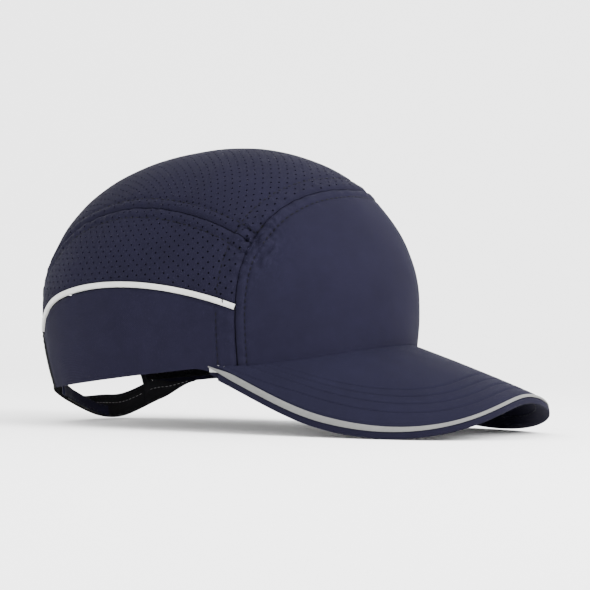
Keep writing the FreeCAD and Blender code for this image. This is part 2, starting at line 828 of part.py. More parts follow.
PARTS = {
    "front_panel": front_panel,
    "crown_panel": crown_panel,
    "side_mesh_right": lambda: side_mesh(-1),
    "side_mesh_left": lambda: side_mesh(1),
    "side_panel_right": lambda: side_panel(-1),
    "side_panel_left": lambda: side_panel(1),
    "side_piping_right": lambda: side_piping(-1),
    "side_piping_left": lambda: side_piping(1),
    "arch_binding": arch_binding,
    "front_seam_tape_right": lambda: front_seam_tape(-1),
    "front_seam_tape_left": lambda: front_seam_tape(1),
    "crown_seam_tape_right": lambda: crown_seam_tape(-1),
    "crown_seam_tape_left": lambda: crown_seam_tape(1),
    "forehead_seam_tape": forehead_seam_tape,
    "sweatband": sweatband,
    "care_label": care_label,
    "brim_top_cover": brim_top_cover,
    "brim_board": brim_board,
    "brim_under_cover": brim_under_cover,
    "brim_piping": brim_piping,
    "strap_right": strap_right,
    "loop_patch": loop_patch,
    "strap_left": strap_left,
    "strap_left_tab": strap_left_tab,
    "hook_patch": hook_patch,
    "bump_shell": bump_shell,
    "front_pad": lambda: edge_pad(*FRONT_PAD),
    "side_pad_right": lambda: edge_pad(-SIDE_PAD[1], -SIDE_PAD[0]),
    "side_pad_left": lambda: edge_pad(*SIDE_PAD),
    "rear_pad": lambda: edge_pad(*REAR_PAD, REAR_PAD_TOP),
    "crown_pad": crown_pad,
    "crown_loop_dots": crown_loop_dots,
    "shell_hook_dots": shell_hook_dots,
}


def set_down(shape):
    """Turn the cap so that the brim and the straps touch the table, and move it to the origin."""
    turn = FreeCAD.Rotation(vec(1, 0, 0), -REST_TILT)
    placed = shape.copy()
    placed.Placement = FreeCAD.Placement(vec(0, REST_Y, REST_Z), turn).multiply(placed.Placement)
    return placed


os.makedirs("parts", exist_ok=True)
whole = FreeCAD.BoundBox()
for name, make in PARTS.items():
    shape = set_down(make())
    shape.exportStep("parts/" + name + ".step")
    whole.add(shape.BoundBox)
    print(name, "ok" if shape.isValid() else "INVALID", round(shape.Volume, 1))
print("whole", whole)
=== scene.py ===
import math
import random

import bpy
import numpy as np
from mathutils import Matrix, Vector, kdtree, noise
from mathutils.geometry import delaunay_2d_cdt


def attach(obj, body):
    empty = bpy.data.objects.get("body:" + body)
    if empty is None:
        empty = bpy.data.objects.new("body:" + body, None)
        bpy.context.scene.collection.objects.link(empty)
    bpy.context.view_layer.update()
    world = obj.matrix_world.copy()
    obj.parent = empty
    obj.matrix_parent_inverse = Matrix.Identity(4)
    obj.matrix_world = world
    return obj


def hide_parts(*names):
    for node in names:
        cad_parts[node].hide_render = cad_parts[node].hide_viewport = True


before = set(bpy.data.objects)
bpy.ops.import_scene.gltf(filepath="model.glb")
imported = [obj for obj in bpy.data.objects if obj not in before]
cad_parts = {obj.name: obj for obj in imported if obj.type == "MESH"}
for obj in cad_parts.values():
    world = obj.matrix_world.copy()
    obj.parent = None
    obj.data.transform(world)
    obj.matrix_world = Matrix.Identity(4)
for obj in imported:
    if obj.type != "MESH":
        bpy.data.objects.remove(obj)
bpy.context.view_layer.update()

# Shapes are worked out in millimetres in the cap's own frame, as in part.py: origin at the middle
# of the side hem, -Y towards the brim, +X to the wearer's left. to_table() sets them down.

# Crown
HALF_WIDTH = 84.0
FRONT_LENGTH = 103.0
BACK_LENGTH = 107.0
HEIGHT_ABOVE = 87.5
HEIGHT_BELOW = 117.0
CENTRE_Z = 30.0
POWER_FRONT = 2.08
POWER_BACK = 2.14
POWER_BLEND = 6.0

# Hem, seams and back opening
HEM_Z = -2.2
HEM_SLOPE = -0.029
HEM_DIP = 4.5
HEM_DIP_FROM_Y = -18.0
HEM_DIP_OVER_Y = 18.0
FRONT_HEM_TOP = 14.0
FRONT_SEAM_AZIMUTH = 61.3
FRONT_SEAM_BASE = -19.0
FRONT_SEAM_RISE = 55.5
FRONT_SEAM_POWER = 3.05
CROWN_SEAM_WIDEST = 54.0
CROWN_SEAM_WIDEST_AT = 68.0
CROWN_SEAM_CURVE = 0.0034
PIPING_CREST = 11.6
PIPING_CREST_AT = 112.0
PIPING_CURVE = 0.00447
PIPING_DROP_AT = 136.0
PIPING_DROP = 0.011
PIPING_ANGLE = 2.3
ARCH_HALF_ANGLE = 28.0
ARCH_BASE = -20.0
ARCH_RISE = 26.5
BINDING_ANGLE = 3.4
ARCH_FOOT = 2.0

# Layers below the crown's outer face
FABRIC = 0.8
TAPE_TOP = 1.70
TAPE_THICK = 0.5
TAPE_WIDTH = 12.0
TAPE_END_GAP = 6.0
SWEATBAND_TOP = 1.8
SWEATBAND_THICK = 1.6
SWEATBAND_ANGLE = 17.0
SWEATBAND_TURN = 1.5
SWEATBAND_PUFF = 0.5
LABEL_AZIMUTH = 122.0
LABEL_ANGLE = 10.0
LABEL_HEIGHT_ANGLE = 11.0
LABEL_ABOVE_HEM = 4.0

# Side piping: a half-round cord
PIPING_WIDTH = 2.9
PIPING_PROUD = 1.05
PIPING_BELOW = 0.8

# Brim
BRIM_LENGTH = 64.0
BRIM_HALF_WIDTH = 81.3
BRIM_POWER = 3.12
BRIM_CORNER_X = 79.3
BRIM_RADIUS = 92.5
BRIM_PITCH = 26.8
BRIM_ROOT_DIP = 3.0
BRIM_CUT = 0.985
BRIM_PANEL_OVERLAP = 5.0
BRIM_UNDER_TOP = 3.1
BRIM_UNDER_THICK = 1.5
BRIM_ROWS = (6.5, 12.5, 18.5, 24.5)
BRIM_DENT = 0.90
BRIM_CLOTH_INSET = 1.5
BRIM_CLOTH_UP = 0.12
BRIM_CLOTH_THICK = 0.95
BRIM_FLANGE = 1.4
CORD_RADIUS = 0.70
CORD_OUT = -0.20
CORD_UP = -0.50

# Straps
STRAP_THICK = 1.2
STRAP_LOW_ANGLE = 16.0
STRAP_SAG = 13.3
STRAP_CENTRE_Z = -2.5
STRAP_SAG_LEFT = 17.0
STRAP_SAG_RIGHT = 22.0
STRAP_BELOW_CENTRE = 6.0
STRAP_LEFT_HEIGHT = 13.0
STRAP_TAIL_HEIGHT = 6.0
STRAP_TAPER_FROM = 14.0
STRAP_TAPER_OVER = 20.0
STRAP_LEFT_END = 27.3
STRAP_TAIL_END = -25.0
STRAP_LEFT_DEPTH = 2.6
STRAP_TAIL_DEPTH = -0.6
STRAP_TAIL_LIFT = 3.2
STRAP_RIGHT_END = -29.5
STRAP_RIGHT_EASE = 14.0
STRAP_RIGHT_TIP = 11.0
STRAP_RIGHT_DEPTH = 6.0
STRAP_RIGHT_SEWN_DEPTH = 3.7
STRAP_RIGHT_HEIGHT = 6.5
STRAP_RIGHT_FLARE = 3.0
STRAP_FLARE_FROM = -12.0
STRAP_FLARE_OVER = 20.0
TAB_START = 27.8
TAB_END = 46.0
TAB_RISE = 4.8
TAB_RISE_FROM = 34.0
TAB_TOP = 0.8
TAB_TOP_FROM = 26.5
TAB_TOP_OVER = 12.0
TAB_DEPTH = 1.2
TAB_EASE = 8.0
PATCH_THICK = 0.8
PATCH_GAP = 0.12
PATCH_LIFT = 0.9
PATCH_FROM = -13.0
PATCH_TO = 9.0

# Shell and pads
SHELL_SIDE_DEPTH = 7.6
SHELL_BACK_DEPTH = 12.0
SHELL_TOP_DEPTH = 3.6
SHELL_THICK = 2.0
SHELL_FRONT_EDGE = -11.0
SHELL_BACK_EDGE = 11.0
PAD_THICK = 6.0
PAD_GAP = 0.3
PAD_BORDER = 1.4
PAD_ROUND = 0.22

# Light: lamps in watts, and the brightness of the white room
KEY_WATTS = 46.0
FILL_WATTS = 8.0
TOP_WATTS = 9.0
ROOM_LIGHT = 2.9

# Camera, in the cap's own frame
CAMERA_AZIMUTH = -61.453
CAMERA_RISE = -4.079
CAMERA_ROLL = 3.977
CAMERA_DISTANCE = 1300.0
LENS_MM = 146.3
AIM_HEIGHT = 60.0
PAN_RIGHT = 35.8
PAN_UP = -20.9

# Pose on the table
REST_TILT = 5.69
REST_Y = 29.84
REST_Z = 31.31

# Perforations: rows of round holes, each row half a pitch along from the last. The two *_DEGREE
# pairs are the length of one degree on the crown along the two ways of a panel's chart.
HOLE_RADIUS = 0.56
HOLE_PITCH = 6.1
HOLE_ROW = 2.95
HOLE_SIDES = 8
HOLE_SCATTER = 0.12
HOLE_EDGE = 1.4
MESH_STEP = 1.4
MESH_EDGE = 0.7
TOP_DEGREE = (1.62, 1.46)
SIDE_DEGREE = (1.63, 1.58)

# Sewing
PANEL_GAP = 0.2
STITCH_LENGTH = 2.7
STITCH_GAP = 0.9
THREAD_RADIUS = 0.17
TOPSTITCH = 6.2
TOPSTITCH_FRONT = 10.0
TOPSTITCH_SIDE = 5.0

CLOTH_LIFT = 0.95
LINE_STEP = 0.6
MM = 0.001
SEED = 7
SIDES = ((-1, "right"), (1, "left"))
rng = random.Random(SEED)


def unit(v):
    return v / np.linalg.norm(v, axis=-1, keepdims=True)


def smooth(t):
    t = np.clip(t, 0.0, 1.0)
    return t * t * (3.0 - 2.0 * t)


def heading(azimuth, rise):
    """Unit directions from the crown's centre; azimuth from the front, + to the wearer's left."""
    a = np.radians(np.asarray(azimuth, float))
    e = np.radians(np.asarray(rise, float))
    a, e = np.broadcast_arrays(a, e)
    return np.stack([np.cos(e) * np.sin(a), -np.cos(e) * np.cos(a), np.sin(e)], -1)


def over_top(along, across):
    """Unit directions from an angle front to back over the top and an angle to the side."""
    p = np.radians(np.asarray(along, float))
    s = np.radians(np.asarray(across, float))
    p, s = np.broadcast_arrays(p, s)
    return np.stack([np.sin(s), -np.cos(s) * np.cos(p), np.cos(s) * np.sin(p)], -1)


def toward(p):
    """Directions of points from the crown's centre."""
    return unit(p - np.array([0, 0, CENTRE_Z]))


def azimuth_of(d):
    return np.degrees(np.arctan2(d[..., 0], -d[..., 1]))


def rise_of(d):
    return np.degrees(np.arctan2(d[..., 2], np.hypot(d[..., 0], d[..., 1])))


def crown(direction, depth=0.0):
    """Points a depth below the crown's outer face, and the outward normals there."""
    d = unit(np.asarray(direction, float))
    front = 1.0 / (1.0 + np.exp(POWER_BLEND * d[..., 1]))
    power = (POWER_FRONT * front + POWER_BACK * (1.0 - front))[..., None]
    length = np.where(d[..., 1] < 0, FRONT_LENGTH, BACK_LENGTH)
    height = np.where(d[..., 2] > 0, HEIGHT_ABOVE, HEIGHT_BELOW)
    size = np.stack([np.full_like(length, HALF_WIDTH), length, height], -1)
    terms = np.abs(d / size) + 1e-12
    reach = np.sum(terms ** power, -1, keepdims=True) ** (-1.0 / power)
    normal = unit(np.copysign(terms ** (power - 1.0) / size, d))
    depth = np.asarray(depth, float)[..., None]
    return np.array([0, 0, CENTRE_Z]) + d * reach - normal * depth, normal


def rise_at(azimuth, height_at):
    """Elevation at which the crown meets a height given as a function of the point."""
    azimuth = np.asarray(azimuth, float)
    rise = np.full_like(azimuth, -20.0)
    for _ in range(14):
        p, _n = crown(heading(azimuth, rise))
        z = height_at(p)
        rise = np.degrees(np.arctan2(z - CENTRE_Z, np.hypot(p[..., 0], p[..., 1])))
    return rise


def side_hem_z(p):
    dip = smooth((HEM_DIP_FROM_Y - p[..., 1]) / HEM_DIP_OVER_Y)
    return HEM_Z + HEM_SLOPE * p[..., 1] - HEM_DIP * dip


def arch_drop(x):
    return BRIM_RADIUS - np.sqrt(np.maximum(BRIM_RADIUS ** 2 - x * x, 1.0))


def brim_corner():
    low, high = 40.0, 85.0
    for _ in range(30):
        mid = (low + high) / 2.0
        p, _n = crown(heading(mid, rise_at(mid, lambda q: np.zeros(q.shape[:-1]))))
        if p[0] < BRIM_CORNER_X:
            low = mid
        else:
            high = mid
    return mid, p[1]


CORNER_AZIMUTH, CORNER_Y = brim_corner()


def brim_z(x, y, out=0.0):
    fall = math.tan(math.radians(BRIM_PITCH)) * (CORNER_Y - y)
    dip = BRIM_ROOT_DIP * (1.0 - out) ** 2 * np.maximum(1.0 - (x / BRIM_CORNER_X) ** 2, 0.0)
    return arch_drop(BRIM_CORNER_X) - arch_drop(x) - fall - dip


def front_hem_z(p):
    return np.minimum(brim_z(p[..., 0], p[..., 1]), FRONT_HEM_TOP) - BRIM_PANEL_OVERLAP


def hem(azimuth, extra=0.0):
    azimuth = np.asarray(azimuth, float)
    front = rise_at(azimuth, front_hem_z)
    side = rise_at(azimuth, side_hem_z)
    rise = np.where(np.abs(azimuth) <= FRONT_SEAM_AZIMUTH, front, side)
    return heading(azimuth, rise + extra)


def turn_to_table(v):
    t = math.radians(-REST_TILT)
    y = v[..., 1] * math.cos(t) - v[..., 2] * math.sin(t)
    z = v[..., 1] * math.sin(t) + v[..., 2] * math.cos(t)
    return np.stack([v[..., 0], y, z], -1)


def to_table(p):
    """Cap frame in millimetres to the row frame in metres."""
    return (turn_to_table(np.asarray(p, float)) + np.array([0.0, REST_Y, REST_Z])) * MM


# ---------------------------------------------------------------- seam curves
def front_seam(turn, side=1):
    a = np.radians(np.asarray(turn, float))
    azimuth = FRONT_SEAM_AZIMUTH * np.cos(a) ** (2.0 / FRONT_SEAM_POWER)
    rise = FRONT_SEAM_BASE + FRONT_SEAM_RISE * np.sin(a) ** (2.0 / FRONT_SEAM_POWER)
    return heading(side * azimuth, rise)


def front_side_part(side, low, high):
    """Side stretch of the front seam between two elevations."""
    def curve(t):
        rise = low + (high - low) * np.asarray(t, float)
        v = np.clip((rise - FRONT_SEAM_BASE) / FRONT_SEAM_RISE, 0.0, 1.0)
        azimuth = FRONT_SEAM_AZIMUTH * (1 - v ** FRONT_SEAM_POWER) ** (1.0 / FRONT_SEAM_POWER)
        return heading(side * azimuth, rise)

    return curve


def crown_seam(along, side=1):
    along = np.asarray(along, float)
    across = CROWN_SEAM_WIDEST - CROWN_SEAM_CURVE * (along - CROWN_SEAM_WIDEST_AT) ** 2
    return over_top(along, side * across)


def piping_line(azimuth, side=1, below=0.0):
    azimuth = np.asarray(azimuth, float)
    rise = PIPING_CREST - PIPING_CURVE * (azimuth - PIPING_CREST_AT) ** 2 - below
    rise = rise - PIPING_DROP * np.maximum(azimuth - PIPING_DROP_AT, 0.0) ** 2
    return heading(side * azimuth, rise)


def arch_edge(turn, side=1, widen=0.0):
    a = np.radians(np.asarray(turn, float))
    from_back = (ARCH_HALF_ANGLE + widen) * np.cos(a)
    rise = ARCH_BASE + (ARCH_RISE + widen) * np.sin(a)
    return heading(side * (180.0 - from_back), rise)


def outside_arch(d, widen):
    u = (180.0 - np.abs(azimuth_of(d))) / (ARCH_HALF_ANGLE + widen)
    v = (rise_of(d) - ARCH_BASE) / (ARCH_RISE + widen)
    return u * u + v * v - 1.0


def beyond_front_seam(d):
    u = np.abs(azimuth_of(d)) / FRONT_SEAM_AZIMUTH
    v = np.maximum(rise_of(d) - FRONT_SEAM_BASE, 0.0) / FRONT_SEAM_RISE
    return u ** FRONT_SEAM_POWER + v ** FRONT_SEAM_POWER - 1.0


def meet(curve, test, low, high):
    sign = test(curve(low)) > 0
    for _ in range(40):
        mid = (low + high) / 2.0
        if (test(curve(mid)) > 0) == sign:
            low = mid
        else:
            high = mid
    return (low + high) / 2.0


def arch_turn_of(d, widen):
    v = np.clip((rise_of(d) - ARCH_BASE) / (ARCH_RISE + widen), 0.0, 1.0)
    return float(np.degrees(np.arcsin(v)))


def seam_turn_of(d):
    v = np.clip((rise_of(d) - FRONT_SEAM_BASE) / FRONT_SEAM_RISE, 0.0, 1.0)
    return float(np.degrees(np.arcsin(v ** (FRONT_SEAM_POWER / 2.0))))


def between(curve, start, end):
    return lambda t: curve(start + (end - start) * np.asarray(t, float))


CROWN_SEAM_START = meet(crown_seam, beyond_front_seam, 20.0, 60.0)
CROWN_SEAM_END = meet(crown_seam, lambda d: outside_arch(d, BINDING_ANGLE), 140.0, 179.0)
CROWN_SEAM_TURN = seam_turn_of(crown_seam(CROWN_SEAM_START))
CROWN_ARCH_TURN = arch_turn_of(crown_seam(CROWN_SEAM_END), BINDING_ANGLE)


def piping_ends(below):
    line = lambda azimuth: piping_line(azimuth, 1, below)
    start = meet(line, beyond_front_seam, 50.0, 75.0)
    end = meet(line, lambda d: outside_arch(d, BINDING_ANGLE), 145.0, 172.0)
    return start, end


def mirrored(curve_of_side):
    """Curve from the right-hand copy of a half curve, through the middle, to the left-hand copy."""
    right = curve_of_side(-1)
    left = curve_of_side(1)

    def curve(t):
        t = np.asarray(t, float)
        half = np.abs(2 * t - 1)[..., None]
        return np.where(t[..., None] < 0.5, right(1 - half[..., 0]), left(1 - half[..., 0]))

    return curve


def forehead_curve():
    """Front seam over the forehead, from one crown seam to the other."""
    return mirrored(lambda side: between(lambda a: front_seam(a, side), CROWN_SEAM_TURN, 90.0))


def arch_top_curve():
    return mirrored(lambda side: between(lambda a: arch_edge(a, side, BINDING_ANGLE), CROWN_ARCH_TURN, 90.0))


def side_crown_seam(side):
    """Crown seam on one side, from the front seam to the back opening."""
    return between(lambda a: crown_seam(a, side), CROWN_SEAM_START, CROWN_SEAM_END)


def foot_to_corner(side):
    foot = float(rise_of(hem(side * FRONT_SEAM_AZIMUTH)))
    corner = float(rise_of(crown_seam(CROWN_SEAM_START, side)))
    return front_side_part(side, foot, corner)


def coons(bottom, top, left, right):
    """Direction field between four edge curves that share their corners."""
    def field(u, v):
        u = np.asarray(u, float)[..., None]
        v = np.asarray(v, float)[..., None]
        sides = left(v[..., 0]) * (1 - u) + right(v[..., 0]) * u
        ends = bottom(u[..., 0]) * (1 - v) + top(u[..., 0]) * v
        low = bottom(0.0) * (1 - u) + bottom(1.0) * u
        high = top(0.0) * (1 - u) + top(1.0) * u
        return unit(sides + ends - low * (1 - v) - high * v)

    return field


# ---------------------------------------------------------------- mesh helpers
def curve_points(curve, count=400, depth=0.0):
    return crown(curve(np.linspace(0.0, 1.0, count)), depth)[0]


def tree_of(points):
    tree = kdtree.KDTree(len(points))
    for i, p in enumerate(points):
        tree.insert(p, i)
    tree.balance()
    return tree


def lengths_along(line):
    steps = np.linalg.norm(np.diff(line, axis=0), axis=1)
    return np.concatenate([[0.0], np.cumsum(steps)])


def at_lengths(where, along, line):
    """Points of a line at given lengths along it."""
    return np.stack([np.interp(where, along, line[:, k]) for k in range(3)], -1)


def distance_to(points, lines):
    """Distance from each point to the nearest of the lines, and the place along that line in mm."""
    rows = []
    places = []
    for line in lines:
        along = lengths_along(line)
        at = np.linspace(0.0, along[-1], max(int(along[-1] / LINE_STEP), 2))
        rows.append(at_lengths(at, along, line))
        places.append(at)
    place = np.concatenate(places)
    tree = tree_of(np.concatenate(rows))
    found = [tree.find(p)[1:] for p in points]
    index = np.array([f[0] for f in found])
    return np.array([f[1] for f in found]), place[index]


def wobble(points, scale, seed=0.0):
    """Smooth noise from -1 to 1 at each point; scale is the size of its features in mm."""
    shift = Vector((seed * 17.3, seed * 5.1, -seed * 9.7))
    return np.array([noise.noise(Vector(p) / scale + shift) for p in points])


def new_mesh(name, points, faces, material, uv=None, sharp=50.0):
    mesh = bpy.data.meshes.new(name)
    mesh.from_pydata(to_table(points).tolist(), [], faces)
    mesh.validate()
    mesh.polygons.foreach_set("use_smooth", [True] * len(mesh.polygons))
    mesh.set_sharp_from_angle(angle=math.radians(sharp))
    if uv is not None:
        layer = mesh.uv_layers.new(name="cloth")
        loops = np.zeros(len(mesh.loops), int)
        mesh.loops.foreach_get("vertex_index", loops)
        layer.data.foreach_set("uv", (np.asarray(uv)[loops] * MM * 100).ravel())
    obj = bpy.data.objects.new(name, mesh)
    bpy.context.scene.collection.objects.link(obj)
    mesh.materials.append(material)
    return obj


def grid_faces(nu, nv, close_u=False, close_v=False):
    faces = []
    for i in range(nu if close_u else nu - 1):
        for j in range(nv if close_v else nv - 1):
            after = ((i + 1) % nu) * nv
            beside_j = (j + 1) % nv
            faces.append((i * nv + j, after + j, after + beside_j, i * nv + beside_j))
    return faces


def closed_tube(name, rings, material, sharp=60.0):
    """Solid along a line. rings holds, for each point of its section, the line that this point follows."""
    count = len(rings)
    points = np.stack(rings, 1).reshape(-1, 3)
    faces = grid_faces(len(rings[0]), count, close_v=True)
    faces.append(tuple(reversed(range(count))))
    faces.append(tuple(len(points) - count + k for k in range(count)))
    return new_mesh(name, points, faces, material, sharp=sharp)


def outer_edges(faces):
    """Directed edges that only one face uses."""
    seen = {}
    for f in faces:
        for k in range(len(f)):
            a, b = f[k], f[(k + 1) % len(f)]
            if (b, a) in seen:
                del seen[(b, a)]
            else:
                seen[(a, b)] = True
    return list(seen)


def thick_cloth(name, outer, inner, faces, uv, material, sharp=50.0):
    """Closed cloth from an outer and an inner layer of points that share one list of faces."""
    count = len(outer)
    all_faces = [tuple(f) for f in faces]
    all_faces += [tuple(count + k for k in reversed(f)) for f in faces]
    for a, b in outer_edges(faces):
        all_faces.append((b, a, count + a, count + b))
    if uv is not None:
        uv = np.concatenate([uv, uv])
    return new_mesh(name, np.concatenate([outer, inner]), all_faces, material, uv, sharp)


def facing_out(points, faces, normals):
    """Faces turned so that they face along the normals."""
    a, b, c = (points[[f[k] for f in faces]] for k in range(3))
    side = np.sum(np.cross(b - a, c - a) * normals[[f[0] for f in faces]], -1)
    return [tuple(f) if s > 0 else tuple(reversed(f)) for f, s in zip(faces, side)]


# ---------------------------------------------------------------- cloth relief
def seam_lines():
    """Seams of the crown, as lists of points on its outer face."""
    seams = []
    for side in (-1, 1):
        seams.append(curve_points(foot_to_corner(side)))
        seams.append(curve_points(side_crown_seam(side)))
    seams.append(curve_points(forehead_curve()))
    return seams


def beside(line_of, distance, count=300):
    """Directions of a line on the crown that runs a distance to one side of a seam curve."""
    p, normal = crown(line_of(np.linspace(0.0, 1.0, count)))
    along = unit(np.gradient(p, axis=0))
    q = p + np.cross(normal, along) * distance
    return toward(q)


def topstitch_lines():
    """Directions of the rows of stitches beside the crown's seams."""
    rows = []
    for side in (-1, 1):
        seam = between(lambda a, s=side: crown_seam(a, s), CROWN_SEAM_START + 1.0, CROWN_SEAM_END - 1.0)
        for shift in (-TOPSTITCH, TOPSTITCH):
            rows.append(beside(seam, shift * side))
        low = float(rise_of(hem(side * FRONT_SEAM_AZIMUTH))) + 0.5
        high = float(rise_of(crown_seam(CROWN_SEAM_START, side)))
        edge = front_side_part(side, low, high - 1.0)
        for shift in (-side * TOPSTITCH_FRONT, side * TOPSTITCH_SIDE):
            rows.append(beside(edge, shift))
    forehead = mirrored(lambda s: between(lambda a: front_seam(a, s), CROWN_SEAM_TURN + 1.0, 90.0))
    for shift in (-TOPSTITCH, TOPSTITCH_FRONT):
        rows.append(beside(forehead, shift))
    return rows


SEAMS = seam_lines()
STITCH_ROWS = topstitch_lines()
PIPINGS = []
HEMS = []
for hand in (-1, 1):
    first, last = piping_ends(PIPING_ANGLE / 2)
    PIPINGS.append(curve_points(between(lambda a: piping_line(a, hand, PIPING_ANGLE / 2), first, last)))
    HEMS.append(curve_points(lambda t: hem(hand * (FRONT_SEAM_AZIMUTH + 87.0 * t))))
CORNERS = np.array([crown(crown_seam(CROWN_SEAM_START, side))[0] for side in (-1, 1)])


def bump(distance, height, width):
    """Height of a rounded ridge at each distance from its middle."""
    return height * np.exp(-(distance / width) ** 2)


def ripples(place, points, length, bend, scale, seed):
    """Uneven waves along a seam: length is that of one wave over 2 pi, bend how far noise shifts them."""
    return np.sin(place / length + bend * wobble(points, scale, seed))


def relief_at(points):
    """How far the cloth lies below the smooth crown at each point, in mm: seams, stitches, creases."""
    from_seam, place = distance_to(points, SEAMS)
    from_corner = np.min(np.linalg.norm(points[:, None] - CORNERS[None], axis=-1), 1)
    near_corner = bump(from_corner, 1.0, 24.0)
    relief = bump(from_seam, 0.80, 0.9) - bump(from_seam - 3.2, 0.42, 2.0)
    from_row, _place = distance_to(points, [crown(row)[0] for row in STITCH_ROWS])
    relief += bump(from_row, 0.60, 0.9)
    ripple = ripples(place, points, 1.5, 3.0, 10.0, 1.0) * (0.55 + 0.9 * wobble(points, 16.0, 7.0))
    relief += (0.34 + 0.6 * near_corner) * ripple * bump(from_seam, 1.0, 7.0)
    pucker = ripples(place, points, 0.62, 5.0, 6.0, 8.0) * (0.4 + 1.2 * wobble(points, 9.0, 9.0))
    relief += (0.14 + 0.35 * near_corner) * pucker * bump(from_seam - 3.5, 1.0, 4.0)
    from_piping, place = distance_to(points, PIPINGS)
    relief += bump(from_piping - 1.9, 0.45, 0.9)
    relief += 0.14 * ripples(place, points, 1.8, 2.0, 7.0, 2.0) * np.exp(-from_piping / 4.5)
    from_hem, place = distance_to(points, HEMS)
    relief += 0.10 * np.sin(place / 3.1) * np.exp(-from_hem / 6.0)
    creases = 1.0 - 2.2 * np.abs(wobble(points, 8.5, 3.0)) - 1.2 * np.abs(wobble(points, 3.6, 4.0))
    relief += creases * bump(from_corner, 2.4, 14.0)
    relief += 0.60 * wobble(points, 38.0, 5.0) + 0.20 * wobble(points, 14.0, 6.0)
    return np.maximum(relief, -CLOTH_LIFT)


def cloth_layers(directions, base=0.0):
    """Outer and inner points of crown cloth along directions, with its relief."""
    flat, normal = crown(directions, base)
    relief = relief_at(flat)[:, None]
    return flat - normal * relief, flat - normal * (relief + FABRIC), normal


def sewn_panel(name, field, nu, nv, material, inset=0.25):
    """Plain panel as a grid over a direction field."""
    width = np.linalg.norm(crown(field(1.0, 0.5))[0] - crown(field(0.0, 0.5))[0])
    height = np.linalg.norm(crown(field(0.5, 1.0))[0] - crown(field(0.5, 0.0))[0])
    iu = inset / width
    iv = inset / height
    u, v = np.meshgrid(np.linspace(iu, 1 - iu, nu), np.linspace(iv, 1 - iv, nv), indexing="ij")
    directions = field(u, v).reshape(-1, 3)
    outer, inner, normal = cloth_layers(directions)
    faces = facing_out(outer, grid_faces(nu, nv), normal)
    uv = np.stack([u.ravel() * width * 1.15, v.ravel() * height], -1)
    return thick_cloth(name, outer, inner, faces, uv, material)


def perforated_panel(name, outline, chart, chart_of, metric, material):
    """Panel with real holes. outline is a closed loop of directions; chart(a, b) gives directions."""
    edge = chart_of(outline)
    low = edge.min(0)
    high = edge.max(0)
    size_a, size_b = metric
    ring = np.stack([edge[:, 0] * size_a, edge[:, 1] * size_b], -1)
    inside = inside_test(ring)
    holes = []
    rows = int((high[1] - low[1]) * size_b / HOLE_ROW) + 2
    columns = int((high[0] - low[0]) * size_a / HOLE_PITCH) + 2
    for r in range(rows):
        for c in range(columns):
            x = low[0] * size_a + (c + 0.5 * (r % 2)) * HOLE_PITCH
            y = low[1] * size_b + (r + 0.37) * HOLE_ROW
            if inside(x, y, HOLE_EDGE):
                x += rng.uniform(-HOLE_SCATTER, HOLE_SCATTER)
                y += rng.uniform(-HOLE_SCATTER, HOLE_SCATTER)
                holes.append((x, y))
    fill = []
    step_y = MESH_STEP * 0.87
    for r in range(int((high[1] - low[1]) * size_b / step_y) + 2):
        for c in range(int((high[0] - low[0]) * size_a / MESH_STEP) + 2):
            x = low[0] * size_a + (c + 0.5 * (r % 2)) * MESH_STEP
            y = low[1] * size_b + r * step_y
            if inside(x, y, MESH_EDGE):
                fill.append((x, y))
    fill = clear_of(fill, holes, HOLE_RADIUS + 0.55)
    points = [tuple(p) for p in ring]
    borders = [(i, (i + 1) % len(ring)) for i in range(len(ring))]
    for x, y in holes:
        start = len(points)
        spin = rng.uniform(0, 1)
        for k in range(HOLE_SIDES):
            t = 2 * math.pi * (k + spin) / HOLE_SIDES
            points.append((x + HOLE_RADIUS * math.cos(t), y + HOLE_RADIUS * math.sin(t)))
            borders.append((start + k, start + (k + 1) % HOLE_SIDES))
    points += fill
    flat, _e, triangles, _a, _b, _c = delaunay_2d_cdt([Vector(p) for p in points], borders, [], 1, 1e-5)
    flat = np.array([tuple(p) for p in flat])
    tree = tree_of([(x, y, 0.0) for x, y in holes])
    kept = []
    for t in triangles:
        middle = flat[list(t)].mean(0)
        if tree.find((middle[0], middle[1], 0.0))[2] > HOLE_RADIUS * 0.93:
            kept.append(tuple(t))
    directions = chart(flat[:, 0] / size_a, flat[:, 1] / size_b)
    outer, inner, normal = cloth_layers(directions)
    kept = facing_out(outer, kept, normal)
    return thick_cloth(name, outer, inner, kept, flat, material)


def inside_test(ring):
    """Test for a point inside a closed 2-D ring and at least a margin from its edge."""
    a = ring
    b = np.roll(ring, -1, axis=0)
    step = b - a
    length = np.maximum(np.sum(step * step, -1), 1e-12)

    def inside(x, y, margin):
        crosses = ((a[:, 1] > y) != (b[:, 1] > y))
        at = a[:, 0] + (y - a[:, 1]) * step[:, 0] / np.where(crosses, step[:, 1], 1.0)
        if np.count_nonzero(crosses & (x < at)) % 2 == 0:
            return False
        p = np.array([x, y])
        t = np.clip(np.sum((p - a) * step, -1) / length, 0, 1)
        gap = np.sum((a + t[:, None] * step - p) ** 2, -1)
        return gap.min() > margin * margin

    return inside


def clear_of(points, others, gap):
    """The points that lie further than a gap from all the others."""
    tree = tree_of([(x, y, 0.0) for x, y in others])
    return [p for p in points if tree.find((p[0], p[1], 0.0))[2] > gap]


